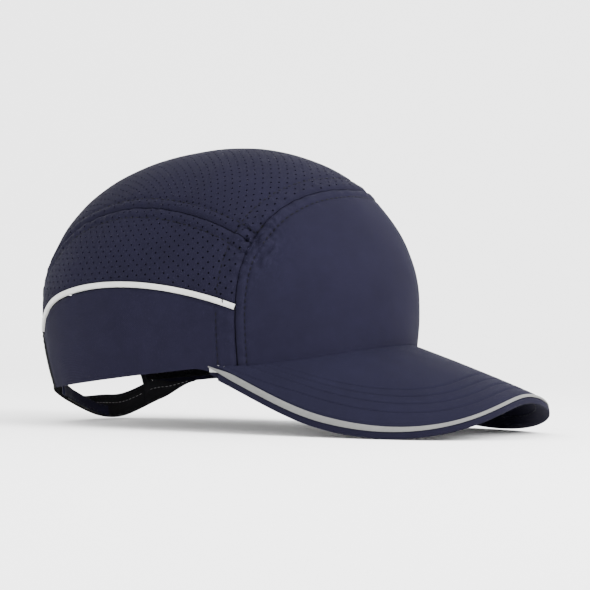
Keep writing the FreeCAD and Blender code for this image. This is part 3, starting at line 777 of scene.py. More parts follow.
# ---------------------------------------------------------------- sewing
def stitch_row(line, normals, radius=THREAD_RADIUS, length=STITCH_LENGTH, gap=STITCH_GAP):
    """Points and faces of a row of thread stitches that dip into the cloth at their ends."""
    along = lengths_along(line)
    points = []
    faces = []
    start = 0.4
    while start + length < along[-1]:
        reach = length * rng.uniform(0.94, 1.04)
        at = np.linspace(start, start + reach, 5)
        middle = at_lengths(at, along, line)
        up = unit(at_lengths(at, along, normals))
        tangent = unit(np.gradient(middle, axis=0))
        across = unit(np.cross(tangent, up))
        rise = np.array([-0.9, 0.35, 0.6, 0.35, -0.9]) * radius
        thick = np.array([0.55, 1.0, 1.0, 1.0, 0.55]) * radius
        base = len(points)
        for k in range(5):
            for s in range(6):
                turn = math.pi * s / 3.0
                ring = across[k] * math.cos(turn) + up[k] * math.sin(turn)
                points.append(middle[k] + up[k] * rise[k] + ring * thick[k])
        for k in range(4):
            for s in range(6):
                a = base + k * 6 + s
                b = base + k * 6 + (s + 1) % 6
                faces.append((a, b, b + 6, a + 6))
        faces.append(tuple(base + s for s in reversed(range(6))))
        faces.append(tuple(base + 24 + s for s in range(6)))
        start += reach + gap
    return points, faces


def sew(name, rows, material, body, radius=THREAD_RADIUS, length=STITCH_LENGTH, gap=STITCH_GAP):
    """One object from several rows of stitches. Each row is its points and their normals."""
    points = []
    faces = []
    for line, normals in rows:
        more, sides = stitch_row(line, normals, radius, length, gap)
        faces += [tuple(len(points) + k for k in f) for f in sides]
        points += more
    obj = new_mesh(name, np.array(points), faces, material, sharp=80.0)
    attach(obj, body)
    return obj


def on_cloth(directions):
    """Points on the relief of the crown's cloth and their normals."""
    flat, normal = crown(directions)
    return flat - normal * relief_at(flat)[:, None], normal


# ---------------------------------------------------------------- materials
class Nodes:
    """Short form for building a material's node tree."""

    def __init__(self, name):
        self.material = bpy.data.materials.new(name)
        self.material.use_nodes = True
        self.tree = self.material.node_tree
        self.shader = self.tree.nodes["Principled BSDF"]

    def add(self, kind, links=None, **values):
        node = self.tree.nodes.new(kind)
        for key, value in values.items():
            setattr(node, key, value)
        for key, value in (links or {}).items():
            socket = node.inputs[key]
            if isinstance(value, bpy.types.NodeSocket):
                self.tree.links.new(value, socket)
            else:
                socket.default_value = value
        return node

    def math(self, operation, a, b=0.5):
        return self.add("ShaderNodeMath", {0: a, 1: b}, operation=operation).outputs[0]

    def ramp(self, value, low, high, start=0.0, end=1.0):
        node = self.add("ShaderNodeValToRGB", {"Fac": value})
        node.color_ramp.elements[0].position = start
        node.color_ramp.elements[0].color = (*low, 1.0)
        node.color_ramp.elements[1].position = end
        node.color_ramp.elements[1].color = (*high, 1.0)
        return node.outputs["Color"]

    def noise(self, vector, scale, detail=4.0, roughness=0.6):
        links = {"Vector": vector, "Scale": scale, "Detail": detail, "Roughness": roughness}
        return self.add("ShaderNodeTexNoise", links).outputs["Fac"]

    def coords(self, kind="Object"):
        return self.add("ShaderNodeTexCoord").outputs[kind]

    def bump(self, height, strength, distance, normal=None):
        links = {"Height": height, "Strength": strength, "Distance": distance}
        if normal is not None:
            links["Normal"] = normal
        return self.add("ShaderNodeBump", links).outputs["Normal"]

    def finish(self, color, roughness, normal=None, **constants):
        links = self.tree.links
        if isinstance(color, bpy.types.NodeSocket):
            links.new(color, self.shader.inputs["Base Color"])
        else:
            self.shader.inputs["Base Color"].default_value = (*color, 1.0)
        if isinstance(roughness, bpy.types.NodeSocket):
            links.new(roughness, self.shader.inputs["Roughness"])
        else:
            self.shader.inputs["Roughness"].default_value = roughness
        if normal is not None:
            links.new(normal, self.shader.inputs["Normal"])
        for key, value in constants.items():
            self.shader.inputs[key.replace("_", " ")].default_value = value
        return self.material


def scaled(color, factor):
    return tuple(min(c * factor, 1.0) for c in color)


def woven(name, color, thread=0.00042, relief=0.00010, sheen=0.008, lint=0.25, rough=0.80):
    """Plain-woven cloth: threads over and under, with lint and slight unevenness of the dye."""
    n = Nodes(name)
    where = n.coords("Object")
    turned = n.add("ShaderNodeMapping", {"Vector": where, "Rotation": (0.5, 0.3, 0.6)}).outputs["Vector"]
    warp = n.add("ShaderNodeTexWave", {"Vector": turned, "Scale": 0.314 / thread, "Distortion": 0.6},
                 wave_type="BANDS", bands_direction="X").outputs["Fac"]
    weft = n.add("ShaderNodeTexWave", {"Vector": turned, "Scale": 0.314 / thread, "Distortion": 0.6},
                 wave_type="BANDS", bands_direction="Z").outputs["Fac"]
    weave = n.math("MULTIPLY", warp, weft)
    fuzz = n.noise(where, 2600.0, 3.0)
    dye = n.noise(where, 28.0, 5.0)
    wear = n.noise(where, 120.0, 4.0)
    height = n.math("ADD", weave, n.math("MULTIPLY", fuzz, 0.5))
    normal = n.bump(height, 0.55, relief)
    base = n.ramp(n.math("ADD", n.math("MULTIPLY", dye, 0.6), n.math("MULTIPLY", wear, 0.4)),
                  scaled(color, 0.86), scaled(color, 1.14), 0.3, 0.7)
    shade = n.ramp(weave, (0.72, 0.72, 0.72), (1.0, 1.0, 1.0), 0.0, 0.5)
    base = n.add("ShaderNodeMix", {"Factor": 0.75, 6: base, 7: shade},
                 data_type="RGBA", blend_type="MULTIPLY").outputs[2]
    specks = n.ramp(n.noise(where, 900.0, 2.0), (0.0, 0.0, 0.0), scaled(color, 12.0 * lint), 0.66, 0.80)
    base = n.add("ShaderNodeMix", {"Factor": 0.12, 6: base, 7: specks},
                 data_type="RGBA", blend_type="ADD").outputs[2]
    roughness = n.ramp(wear, (rough - 0.05,) * 3, (rough + 0.06,) * 3)
    return n.finish(base, roughness, normal, Sheen_Weight=sheen, Sheen_Roughness=0.4,
                    Sheen_Tint=(*scaled(color, 8.0), 1.0), Specular_IOR_Level=0.035)


def terry(name, color):
    """Towelling: small loops standing close together."""
    n = Nodes(name)
    where = n.coords("Object")
    cells = n.add("ShaderNodeTexVoronoi", {"Vector": where, "Scale": 1100.0, "Randomness": 0.9})
    loops = cells.outputs["Distance"]
    fluff = n.noise(where, 3000.0, 3.0)
    height = n.math("SUBTRACT", fluff, loops)
    # Lighter at each loop's middle and darker between loops: painted highlight on the loops and painted shade
    # in the gaps.
    base = n.ramp(loops, scaled(color, 1.5), scaled(color, 0.45), 0.1, 0.8)
    return n.finish(base, 0.95, n.bump(height, 0.8, 0.0004), Sheen_Weight=0.01, Sheen_Roughness=0.6,
                    Specular_IOR_Level=0.03)


def reflective(name, color):
    """Retroreflective cloth tape: grey, fine glass beads on a tight weave, slightly scuffed."""
    n = Nodes(name)
    where = n.coords("Object")
    beads = n.add("ShaderNodeTexVoronoi", {"Vector": where, "Scale": 4200.0}).outputs["Distance"]
    scuff = n.noise(where, 260.0, 5.0)
    dirt = n.noise(where, 55.0, 4.0)
    mix = n.math("ADD", n.math("MULTIPLY", scuff, 0.5), n.math("MULTIPLY", dirt, 0.5))
    base = n.ramp(mix, scaled(color, 0.84), scaled(color, 1.06), 0.32, 0.62)
    roughness = n.ramp(scuff, (0.42,) * 3, (0.60,) * 3, 0.3, 0.7)
    height = n.math("SUBTRACT", n.math("MULTIPLY", scuff, 0.7), beads)
    return n.finish(base, roughness, n.bump(height, 0.35, 0.00015), Specular_IOR_Level=0.12,
                    Sheen_Weight=0.02)


def moulded(name, color, rough=0.5, grain=0.00008, grain_scale=1400.0):
    """Moulded plastic: fine spark-eroded grain, flow marks and faint scuffs."""
    n = Nodes(name)
    where = n.coords("Object")
    fine = n.noise(where, grain_scale, 4.0)
    flow = n.noise(where, 22.0, 3.0)
    scratch = n.add("ShaderNodeMapping", {"Vector": where, "Scale": (60.0, 900.0, 60.0)}).outputs["Vector"]
    scratch = n.noise(scratch, 3.0, 2.0)
    base = n.ramp(flow, scaled(color, 0.88), scaled(color, 1.12), 0.3, 0.7)
    roughness = n.ramp(n.math("ADD", n.math("MULTIPLY", flow, 0.6), n.math("MULTIPLY", scratch, 0.4)),
                       (rough - 0.08,) * 3, (rough + 0.10,) * 3, 0.3, 0.7)
    normal = n.bump(fine, 0.4, grain)
    normal = n.bump(flow, 0.25, 0.0006, normal)
    return n.finish(base, roughness, normal, Specular_IOR_Level=0.16)


def nylon_hooks(name, color, scale=700.0, relief=0.0006):
    """Hook tape: rows of stiff hooks on a black ground, with painted highlights on the hooks and painted
    shade between them.
    """
    n = Nodes(name)
    where = n.coords("Object")
    cells = n.add("ShaderNodeTexVoronoi", {"Vector": where, "Scale": scale, "Randomness": 0.25})
    peaks = n.ramp(cells.outputs["Distance"], (1, 1, 1), (0, 0, 0), 0.05, 0.42)
    # Lighter at each hook's middle and darker between hooks: painted highlight and painted shade.
    base = n.ramp(cells.outputs["Distance"], scaled(color, 3.2), scaled(color, 0.5), 0.05, 0.5)
    return n.finish(base, 0.5, n.bump(peaks, 0.9, relief), Specular_IOR_Level=0.12)


def nylon_loops(name, color):
    """Loop tape: a soft tangle of fine nylon."""
    n = Nodes(name)
    where = n.coords("Object")
    warped = n.add("ShaderNodeMapping", {"Vector": where, "Scale": (1.0, 0.4, 1.6)}).outputs["Vector"]
    tangle = n.noise(warped, 2400.0, 6.0, 0.75)
    clumps = n.noise(where, 420.0, 3.0)
    height = n.math("ADD", tangle, n.math("MULTIPLY", clumps, 0.6))
    base = n.ramp(tangle, scaled(color, 0.6), scaled(color, 2.2), 0.35, 0.7)
    return n.finish(base, 0.85, n.bump(height, 0.8, 0.0005), Sheen_Weight=0.01, Specular_IOR_Level=0.04)


def satin(name, color):
    """Woven satin label tape, blank."""
    n = Nodes(name)
    where = n.coords("Object")
    lines = n.add("ShaderNodeTexWave", {"Vector": where, "Scale": 900.0, "Distortion": 0.4},
                  wave_type="BANDS", bands_direction="Z").outputs["Fac"]
    dye = n.noise(where, 160.0, 3.0)
    base = n.ramp(dye, scaled(color, 0.93), scaled(color, 1.03), 0.3, 0.7)
    return n.finish(base, 0.45, n.bump(lines, 0.3, 0.00006), Sheen_Weight=0.2, Anisotropic=0.4)


def thread(name, color):
    """Twisted sewing thread."""
    n = Nodes(name)
    where = n.coords("Object")
    turned = n.add("ShaderNodeMapping", {"Vector": where, "Rotation": (0.7, 0.4, 0.2)}).outputs["Vector"]
    ply = n.add("ShaderNodeTexWave", {"Vector": turned, "Scale": 1400.0, "Distortion": 1.0},
                wave_type="BANDS", bands_direction="DIAGONAL").outputs["Fac"]
    base = n.ramp(ply, scaled(color, 0.75), scaled(color, 1.15), 0.2, 0.8)
    return n.finish(base, 0.6, n.bump(ply, 0.5, 0.00008), Sheen_Weight=0.01,
                    Specular_IOR_Level=0.08)


NAVY = (0.0078, 0.0072, 0.0160)
navy_cloth = woven("navy_cloth", NAVY)
navy_mesh = woven("navy_mesh_cloth", scaled(NAVY, 0.93), thread=0.00036)
brim_cloth = woven("brim_cloth", (0.0076, 0.0072, 0.0160), sheen=0.008)
under_cloth = woven("under_cloth", scaled(NAVY, 0.85))
# The right strap is the crown's navy cloth made 1.5 times brighter: painted light on a strap that lies in
# shade.
strap_cloth_with_painted_light = woven("strap_cloth_with_painted_light", scaled(NAVY, 1.5), thread=0.0005)
black_cloth = woven("black_cloth", (0.0110, 0.0110, 0.0125), thread=0.0005, lint=0.35)
tape_cloth = woven("tape_cloth", (0.0034, 0.0034, 0.0042), thread=0.0006, relief=0.00016, lint=0.3)
pad_cloth = woven("pad_cloth", (0.0080, 0.0080, 0.0092), thread=0.0007, relief=0.0002, sheen=0.008)
towelling = terry("towelling", (0.0032, 0.0032, 0.0040))
silver_cord = reflective("silver_cord", (0.44, 0.44, 0.43))
silver_edge = reflective("silver_edge", (0.100, 0.101, 0.099))
brim_sheet = moulded("brim_sheet", (0.30, 0.30, 0.29), 0.45)
shell_plastic = moulded("shell_plastic", (0.0060, 0.0060, 0.0068), 0.46, 0.00012)
hooks = nylon_hooks("hooks", (0.0035, 0.0035, 0.0042))
loops_cloth = nylon_loops("loops_cloth", (0.0036, 0.0036, 0.0042))
label_satin = satin("label_satin", (0.36, 0.36, 0.35))
navy_thread = thread("navy_thread", (0.0018, 0.0018, 0.0042))
# Thread for the brim rows and crown topstitches: the thread's own dark navy, darkened to near-black as
# painted shade of the dents it lies in.
dark_thread_with_painted_shade = thread("dark_thread_with_painted_shade", (0.0009, 0.0009, 0.0020))
black_thread = thread("black_thread", (0.0040, 0.0040, 0.0048))
grey_thread = thread("grey_thread", (0.20, 0.20, 0.205))


# ---------------------------------------------------------------- crown
def keep(obj, node, body="cap"):
    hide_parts(node)
    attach(obj, body)
    return obj


def crown_outline():
    """Closed loop of directions round the crown panel."""
    t = np.linspace(0.0, 1.0, 221)[:-1]
    sides = [forehead_curve()(t), side_crown_seam(1)(t), arch_top_curve()(1 - t), side_crown_seam(-1)(1 - t)]
    return np.concatenate(sides)


def shrink(outline, gap):
    """A loop of directions drawn in by a gap in mm."""
    p, normal = crown(outline)
    along = unit(np.roll(p, -1, 0) - np.roll(p, 1, 0))
    inward = np.cross(normal, along)
    middle = p.mean(0)
    if np.sum((middle - p) * inward) < 0:
        inward = -inward
    q = p + inward * gap
    return toward(q)


def top_chart_of(d):
    across = np.degrees(np.arcsin(np.clip(d[..., 0], -1, 1)))
    along = np.degrees(np.arctan2(d[..., 2], -d[..., 1]))
    return np.stack([along, across], -1)


def side_chart_of(side):
    return lambda d: np.stack([side * azimuth_of(d), rise_of(d)], -1)


def side_mesh_outline(side):
    """Closed loop of directions round an upper side panel."""
    start, end = piping_ends(0.0)
    t = np.linspace(0.0, 1.0, 181)[:-1]
    low = piping_line(start + (end - start) * t, side)
    corner = float(rise_of(crown_seam(CROWN_SEAM_START, side)))
    foot = float(rise_of(piping_line(start, side)))
    front_edge = front_side_part(side, foot, corner)(1 - t)
    low_turn = arch_turn_of(piping_line(end, side), BINDING_ANGLE)
    high_turn = arch_turn_of(crown_seam(CROWN_SEAM_END, side), BINDING_ANGLE)
    back_edge = arch_edge(low_turn + (high_turn - low_turn) * t, side, BINDING_ANGLE)
    return np.concatenate([low, back_edge, side_crown_seam(side)(1 - t), front_edge])


def side_panel_field(side):
    """Directions over a lower side panel, from the hem up to the piping."""
    start, end = piping_ends(PIPING_ANGLE)
    first = FRONT_SEAM_AZIMUTH + 0.01
    last = 180.0 - ARCH_HALF_ANGLE - BINDING_ANGLE
    hem_line = between(lambda a: hem(side * a), first, last)
    piped = between(lambda a: piping_line(a, side, PIPING_ANGLE), start, end)
    front_edge = front_side_part(side, float(rise_of(hem_line(0.0))), float(rise_of(piped(0.0))))
    low_turn = arch_turn_of(hem_line(1.0), BINDING_ANGLE)
    high_turn = arch_turn_of(piped(1.0), BINDING_ANGLE)
    back_edge = between(lambda a: arch_edge(a, side, BINDING_ANGLE), low_turn, high_turn)
    return coons(hem_line, piped, front_edge, back_edge)


def build_crown():
    bottom = between(hem, -FRONT_SEAM_AZIMUTH, FRONT_SEAM_AZIMUTH)
    field = coons(bottom, forehead_curve(), foot_to_corner(-1), foot_to_corner(1))
    front = sewn_panel("front_panel_cloth", field, 230, 150, navy_cloth)
    keep(front, "front_panel")
    outline = shrink(crown_outline(), PANEL_GAP)
    top = perforated_panel("crown_panel_cloth", outline, over_top, top_chart_of, TOP_DEGREE, navy_mesh)
    keep(top, "crown_panel")
    for side, hand in SIDES:
        outline = shrink(side_mesh_outline(side), PANEL_GAP)
        chart = lambda a, b: heading(side * a, b)
        chart_of = side_chart_of(side)
        mesh = perforated_panel(f"side_mesh_cloth_{hand}", outline, chart, chart_of, SIDE_DEGREE, navy_mesh)
        keep(mesh, f"side_mesh_{hand}")
        panel = sewn_panel(f"side_panel_cloth_{hand}", side_panel_field(side), 190, 60, navy_cloth)
        keep(panel, f"side_panel_{hand}")


def bead(name, line, normal, width, proud, below, material, count=12):
    """Half-round cord along a line of points, with a flat foot below the line."""
    half = unit(np.cross(normal, unit(np.gradient(line, axis=0)))) * width / 2
    rings = []
    for a in np.linspace(0.0, math.pi, count):
        rings.append(line + half * math.cos(a) + normal * (proud * math.sin(a) ** 0.8))
    rings.append(line - half - normal * below)
    rings.append(line + half - normal * below)
    return closed_tube(name, rings, material)


def build_side_pipings():
    for side, hand in SIDES:
        upper, lower = piping_ends(0.0), piping_ends(PIPING_ANGLE)
        azimuth = np.linspace(max(upper[0], lower[0]) + 0.1, min(upper[1], lower[1]) - 0.1, 300)
        p, normal = crown(piping_line(azimuth, side, PIPING_ANGLE / 2))
        p = p + normal * 0.10 * wobble(p, 6.0, 8.0)[:, None]
        size = (PIPING_WIDTH, PIPING_PROUD, PIPING_BELOW)
        cord = bead(f"side_piping_cord_{hand}", p, normal, *size, silver_cord)
        keep(cord, f"side_piping_{hand}")


def binding_line(share, depth):
    """Points and normals along the back opening's binding, at a share of its width and a depth."""
    t = np.linspace(0.0, 1.0, 260)
    turn = ARCH_FOOT + (90.0 - ARCH_FOOT) * (1 - np.abs(2 * t - 1))
    right, left = (arch_edge(turn, side, BINDING_ANGLE * share) for side in (-1, 1))
    return crown(np.where((t > 0.5)[:, None], left, right), depth)


def build_arch_binding():
    """Folded black tape round the back opening, rounded over the cloth's edge."""
    rings = []
    section = [(0.02, 1.5), (0.02, 0.3), (0.10, -0.25), (0.30, -0.50), (0.60, -0.52), (0.85, -0.42),
               (0.97, -0.15), (0.97, 0.0), (0.97, 1.15), (0.85, 1.45), (0.5, 1.55), (0.2, 1.55)]
    for share, depth in section:
        p, normal = binding_line(share, depth)
        rings.append(p + normal * 0.10 * wobble(p, 5.0, 9.0)[:, None])
    keep(closed_tube("arch_binding_tape", rings, black_cloth, 70.0), "arch_binding")
    outer = binding_line(0.72, -0.52)
    inner, normal = binding_line(0.72, 1.55)
    sew("arch_binding_stitches", [outer, (inner, -normal)], black_thread, "cap")


def seam_tape(name, line, node):
    """Seam tape under the crown, with a rolled edge. Gives the stitch lines down its two sides."""
    p, normal = crown(line)
    across = unit(np.cross(normal, unit(np.gradient(p, axis=0)))) * TAPE_WIDTH
    section = [(-0.5, 0.5), (-0.5, 0.15), (-0.46, 0.0), (0.0, -0.06), (0.46, 0.0), (0.5, 0.15), (0.5, 0.5),
               (0.46, 0.95), (0.0, 1.0), (-0.46, 0.95)]
    rings = []
    for share, level in section:
        rings.append(crown(toward(p + across * share), TAPE_TOP + TAPE_THICK * level)[0])
    keep(closed_tube(name, rings, tape_cloth), node)
    rows = []
    for share in (-0.36, 0.36):
        q, n = crown(toward(p + across * share), TAPE_TOP + TAPE_THICK)
        rows.append((q, -n))
    return rows


def build_tapes():
    rows = []
    t = np.linspace(0.0, 1.0, 160)
    for side, hand in SIDES:
        low = float(rise_of(hem(side * FRONT_SEAM_AZIMUTH))) + 1.0
        high = float(rise_of(crown_seam(CROWN_SEAM_START))) - 4.5
        line = front_side_part(side, low, high)(t)
        rows += seam_tape(f"front_tape_{hand}", line, f"front_seam_tape_{hand}")
        reach = CROWN_SEAM_END - 10.0 - CROWN_SEAM_START
        line = crown_seam(CROWN_SEAM_START + TAPE_END_GAP + reach * t, side)
        rows += seam_tape(f"crown_tape_{hand}", line, f"crown_seam_tape_{hand}")
    line = mirrored(lambda s: between(lambda a: front_seam(a, s), CROWN_SEAM_TURN + TAPE_END_GAP, 90.0))(t)
    rows += seam_tape("forehead_tape", line, "forehead_seam_tape")
    sew("tape_stitches", rows, black_thread, "cap")


def build_sweatband():
    """Towelling band with rolled edges, padded so that it swells between its seams."""
    reach = 180.0 - ARCH_HALF_ANGLE - 1.0
    azimuth = np.linspace(-reach, reach, 520)
    low = rise_of(hem(azimuth)) + SWEATBAND_TURN
    face = SWEATBAND_TOP + SWEATBAND_THICK
    rings = []
    for v in np.linspace(0.0, 1.0, 26):
        swell = 1.0 - (2 * v - 1) ** 6
        p, normal = crown(heading(azimuth, low + SWEATBAND_ANGLE * v), face + SWEATBAND_PUFF * swell - 0.3)
        pile = 0.16 * wobble(p, 1.6, 11.0) + 0.22 * wobble(p, 12.0, 12.0)
        rings.append(p - normal * pile[:, None])
    for v, level in ((1.012, SWEATBAND_THICK * 0.6), (1.0, 0.1), (0.66, 0.1), (0.33, 0.1), (0.0, 0.1),
                     (-0.012, SWEATBAND_THICK * 0.4)):
        rings.append(crown(heading(azimuth, low + SWEATBAND_ANGLE * v), SWEATBAND_TOP + level)[0])
    keep(closed_tube("sweatband_towelling", rings, towelling, 75.0), "sweatband")
    rows = []
    for v in (0.10, 0.90):
        p, normal = crown(heading(azimuth, low + SWEATBAND_ANGLE * v), face + 0.15)
        rows.append((p, -normal))
    sew("sweatband_stitches", rows, black_thread, "cap", 0.2, 3.2, 1.2)


def build_label():
    """Blank label inside the sweatband, a little bowed."""
    top = SWEATBAND_TOP + SWEATBAND_THICK + 0.75
    azimuth = LABEL_AZIMUTH + LABEL_ANGLE * (np.linspace(0, 1, 24) - 0.5)
    low = rise_of(hem(azimuth)) + LABEL_ABOVE_HEM
    bowed = [(v, 0.10 * math.sin(3.1 * v)) for v in np.linspace(0.02, 0.98, 14)]
    section = [(0.0, 0.0)] + bowed + [(1.0, 0.0), (0.98, -0.3), (0.5, -0.3), (0.02, -0.3)]
    rings = [crown(heading(azimuth, low + LABEL_HEIGHT_ANGLE * v), top + lift)[0] for v, lift in section]
    keep(closed_tube("care_label_satin", rings, label_satin), "care_label")


# ---------------------------------------------------------------- brim
def brim_root(q):
    azimuth = np.asarray(q, float) * CORNER_AZIMUTH
    d = heading(azimuth, rise_at(azimuth, lambda p: brim_z(p[..., 0], p[..., 1])))
    return crown(d, -0.1)[0]


def brim_edge(q):
    q = np.asarray(q, float)
    forward = 1.0 - np.abs(q) ** BRIM_POWER
    reach = FRONT_LENGTH + BRIM_LENGTH + CORNER_Y
    half = BRIM_CORNER_X + (BRIM_HALF_WIDTH - BRIM_CORNER_X) * smooth(forward / 0.45)
    x = half * (1.0 - forward ** BRIM_POWER) ** (1.0 / BRIM_POWER)
    return np.stack([np.copysign(x, q), CORNER_Y - reach * forward], -1)


def brim_outward(q):
    q = np.asarray(q, float)
    along = unit(brim_edge(np.minimum(q + 0.01, 1.0)) - brim_edge(np.maximum(q - 0.01, -1.0)))
    return np.stack([along[..., 1], -along[..., 0]], -1)


def brim_points(u, v, grow, drop):
    q = BRIM_CUT * (2 * np.asarray(u, float) - 1)
    root = brim_root(q)
    edge = brim_edge(q) + brim_outward(q) * np.asarray(grow, float)[..., None]
    v = np.asarray(v, float)
    x = root[..., 0] + (edge[..., 0] - root[..., 0]) * v
    y = root[..., 1] + (edge[..., 1] - root[..., 1]) * v
    return np.stack([x, y, brim_z(x, y, v) - drop], -1)


def brim_shift(u, inset):
    """Share v of the way out at which a line lies an inset inside the brim's outline."""
    q = BRIM_CUT * (2 * u - 1)
    root = brim_root(q)[..., :2]
    edge = brim_edge(q)
    span = np.linalg.norm(edge - root, axis=-1)
    out = np.abs(np.sum(unit(edge - root) * brim_outward(q), -1))
    return 1.0 - inset / np.maximum(span * np.maximum(out, 0.25), 1e-3)


BRIM_NU = 420
BRIM_U = np.linspace(0.0, 1.0, BRIM_NU)


def brim_ripple(p):
    """Slight unevenness of the brim's top cloth."""
    return 0.07 * wobble(p, 7.0, 21.0) + 0.16 * wobble(p, 34.0, 22.0)


def brim_stitch_lines(rows, drop, up, facing):
    """Stitch lines on one face of the brim: facing is 1 on its top and -1 underneath."""
    lines = []
    for row in rows:
        p = brim_points(BRIM_U, row, np.zeros(BRIM_NU), drop)
        p[:, 2] += up + (brim_ripple(p) if facing > 0 else 0.0)
        p = p[row > 0.03]
        along = unit(np.gradient(p, axis=0))
        normal = np.tile(np.array([0.0, -0.35, 0.94]) * facing, (len(p), 1))
        lines.append((p, unit(normal - along * np.sum(normal * along, -1)[:, None])))
    return lines


def build_brim():
    rows = [brim_shift(BRIM_U, inset) for inset in BRIM_ROWS]
    grow = np.full(BRIM_NU, -BRIM_CLOTH_INSET)
    q = BRIM_CUT * (2 * BRIM_U - 1)
    span = np.linalg.norm(brim_edge(q) - brim_root(q)[..., :2], axis=-1)
    rings = []
    for share in np.linspace(0.0, 1.0, 220):
        v = np.full(BRIM_NU, share)
        p = brim_points(BRIM_U, v, grow, 0.0)
        dent = sum(bump((v - row) * span, BRIM_DENT, 0.62) for row in rows)
        lip = 0.55 * smooth((share - 0.96) / 0.04)
        p[:, 2] += brim_ripple(p) - dent - lip + BRIM_CLOTH_UP
        rings.append(p)
    for share in (1.0, 0.66, 0.33, 0.0):
        rings.append(brim_points(BRIM_U, np.full(BRIM_NU, share), grow, BRIM_CLOTH_THICK))
    keep(closed_tube("brim_top_cloth", rings, brim_cloth, 70.0), "brim_top_cover")
    lines = brim_stitch_lines(rows, 0.0, BRIM_CLOTH_UP - BRIM_DENT, 1)
    sew("brim_stitches", lines, dark_thread_with_painted_shade, "cap", 0.30, 3.1, 0.5)
    build_brim_piping()
    build_brim_under(rows)


def build_brim_piping():
    """Round cord along the brim's edge, with its flat flange sewn in between the two cloths."""
    q = 0.998 * (2 * BRIM_U - 1)
    edge = brim_edge(q)
    out = brim_outward(q)
    taper = 0.2 + 0.8 * smooth((1.0 - np.abs(q)) / 0.035)
    section = []
    for a in np.linspace(math.radians(-75), math.radians(165), 17):
        section.append((CORD_OUT + CORD_RADIUS * math.cos(a), CORD_RADIUS * math.sin(a)))
    section += [(-BRIM_FLANGE, -0.15), (-BRIM_FLANGE, -0.75)]
    rings = []
    for offset, height in section:
        p = edge + out * (offset * taper)[:, None]
        z = brim_z(p[..., 0], p[..., 1], 1.0) + CORD_UP + height * taper
        rings.append(np.stack([p[..., 0], p[..., 1], z], -1))
    keep(closed_tube("brim_piping_cord", rings, silver_edge), "brim_piping")


def build_brim_under(rows):
    """Under cloth, rolled up round the brim's edge to the piping."""
    low = BRIM_UNDER_TOP + BRIM_UNDER_THICK
    rings = []
    for share in np.linspace(0.0, 1.0, 60):
        p = brim_points(BRIM_U, np.full(BRIM_NU, share), np.full(BRIM_NU, -0.4), low)
        p[:, 2] += 0.08 * wobble(p, 8.0, 23.0) + 0.14 * wobble(p, 30.0, 24.0) + 0.15
        rings.append(p)
    for grow, level in ((0.30, 4.45), (0.62, 4.0), (0.68, 3.0), (0.60, 2.0), (0.30, 1.50), (-0.3, 1.32),
                        (-1.5, 1.6), (-1.7, 2.9)):
        rings.append(brim_points(BRIM_U, np.ones(BRIM_NU), np.full(BRIM_NU, grow), level))
    for share in (0.97, 0.66, 0.33, 0.0):
        rings.append(brim_points(BRIM_U, np.full(BRIM_NU, share), np.full(BRIM_NU, -0.2), BRIM_UNDER_TOP))
    keep(closed_tube("brim_under_cloth", rings, under_cloth, 70.0), "brim_under_cover")
    lines = brim_stitch_lines(rows, low, 0.10, -1)
    sew("brim_under_stitches", lines, navy_thread, "cap", 0.20, 2.9, 0.8)


# ---------------------------------------------------------------- straps
def strap_bottom(angle):
    spread = np.where(angle > STRAP_LOW_ANGLE, STRAP_SAG_LEFT, STRAP_SAG_RIGHT)
    sag = STRAP_SAG * np.exp(-((angle - STRAP_LOW_ANGLE) / spread) ** 2)
    return STRAP_CENTRE_Z - sag - STRAP_BELOW_CENTRE


def strap_point(angle, z, depth):
    face, _n = crown(heading(180.0 - angle, ARCH_BASE))
    outward = np.stack([face[..., 0] / HALF_WIDTH ** 2, face[..., 1] / BACK_LENGTH ** 2,
                        np.zeros(face.shape[:-1])], -1)
    outward = unit(outward)
    p = face - outward * np.asarray(depth, float)[..., None]
    return np.stack([p[..., 0], p[..., 1], z], -1), outward


def strap_left_height(angle):
    full = smooth((angle - STRAP_TAPER_FROM + STRAP_TAPER_OVER) / STRAP_TAPER_OVER)
    return STRAP_TAIL_HEIGHT + (STRAP_LEFT_HEIGHT - STRAP_TAIL_HEIGHT) * full


def tail_share(angle):
    return smooth((PATCH_FROM - angle) / (PATCH_FROM - STRAP_TAIL_END))


def strap_left_depth(angle):
    return STRAP_LEFT_DEPTH + (STRAP_TAIL_DEPTH - STRAP_LEFT_DEPTH) * tail_share(angle)


def strap_left_rise(angle):
    return STRAP_TAIL_LIFT * tail_share(angle)


def no_rise(angle):
    return 0.0 * angle


def strap_right_depth(angle):
    free = smooth((angle - STRAP_RIGHT_END) / STRAP_RIGHT_EASE)
    return STRAP_RIGHT_SEWN_DEPTH + (STRAP_RIGHT_DEPTH - STRAP_RIGHT_SEWN_DEPTH) * free


def strap_right_height(angle):
    return STRAP_RIGHT_HEIGHT + STRAP_RIGHT_FLARE * smooth((STRAP_FLARE_FROM - angle) / STRAP_FLARE_OVER)


def strap_ease(p):
    """Slight unevenness of a strap, the same for all that lies on it."""
    return (0.12 * wobble(p, 9.0, 31.0) + 0.25 * wobble(p, 30.0, 32.0))[:, None]


def strap_band(name, start, end, depth, height, thick, lift, material, count=220, tuck=0.0, rise=no_rise):
    """Soft band with rounded edges. tuck draws its start in to a rounded point over some degrees."""
    angle = np.linspace(start, end, count)
    base = strap_bottom(angle) + rise(angle) + lift
    tall = height(angle) - 2 * lift
    share = np.linspace(0.0, 1.0, 13)
    section = [(v, 0.0) for v in share] + [(v, 1.0) for v in share[::-1]]
    rings = []
    for v, layer in section:
        round_off = 0.5 * max(0.0, 1.0 - min(v, 1.0 - v) / 0.06)
        level = layer + (round_off if layer < 0.5 else -round_off)
        z = base + tall * v
        if tuck:
            tail = np.clip((angle - start) / tuck, 0.0, 1.0)
            middle = base + tall * 0.5
            z = middle + (z - middle) * np.sqrt(np.clip(1.0 - (1.0 - tail) ** 2, 0.02, 1.0))
        p, outward = strap_point(angle, z, depth(angle) + thick * level)
        rings.append(p + outward * strap_ease(p))
    return closed_tube(name, rings, material)


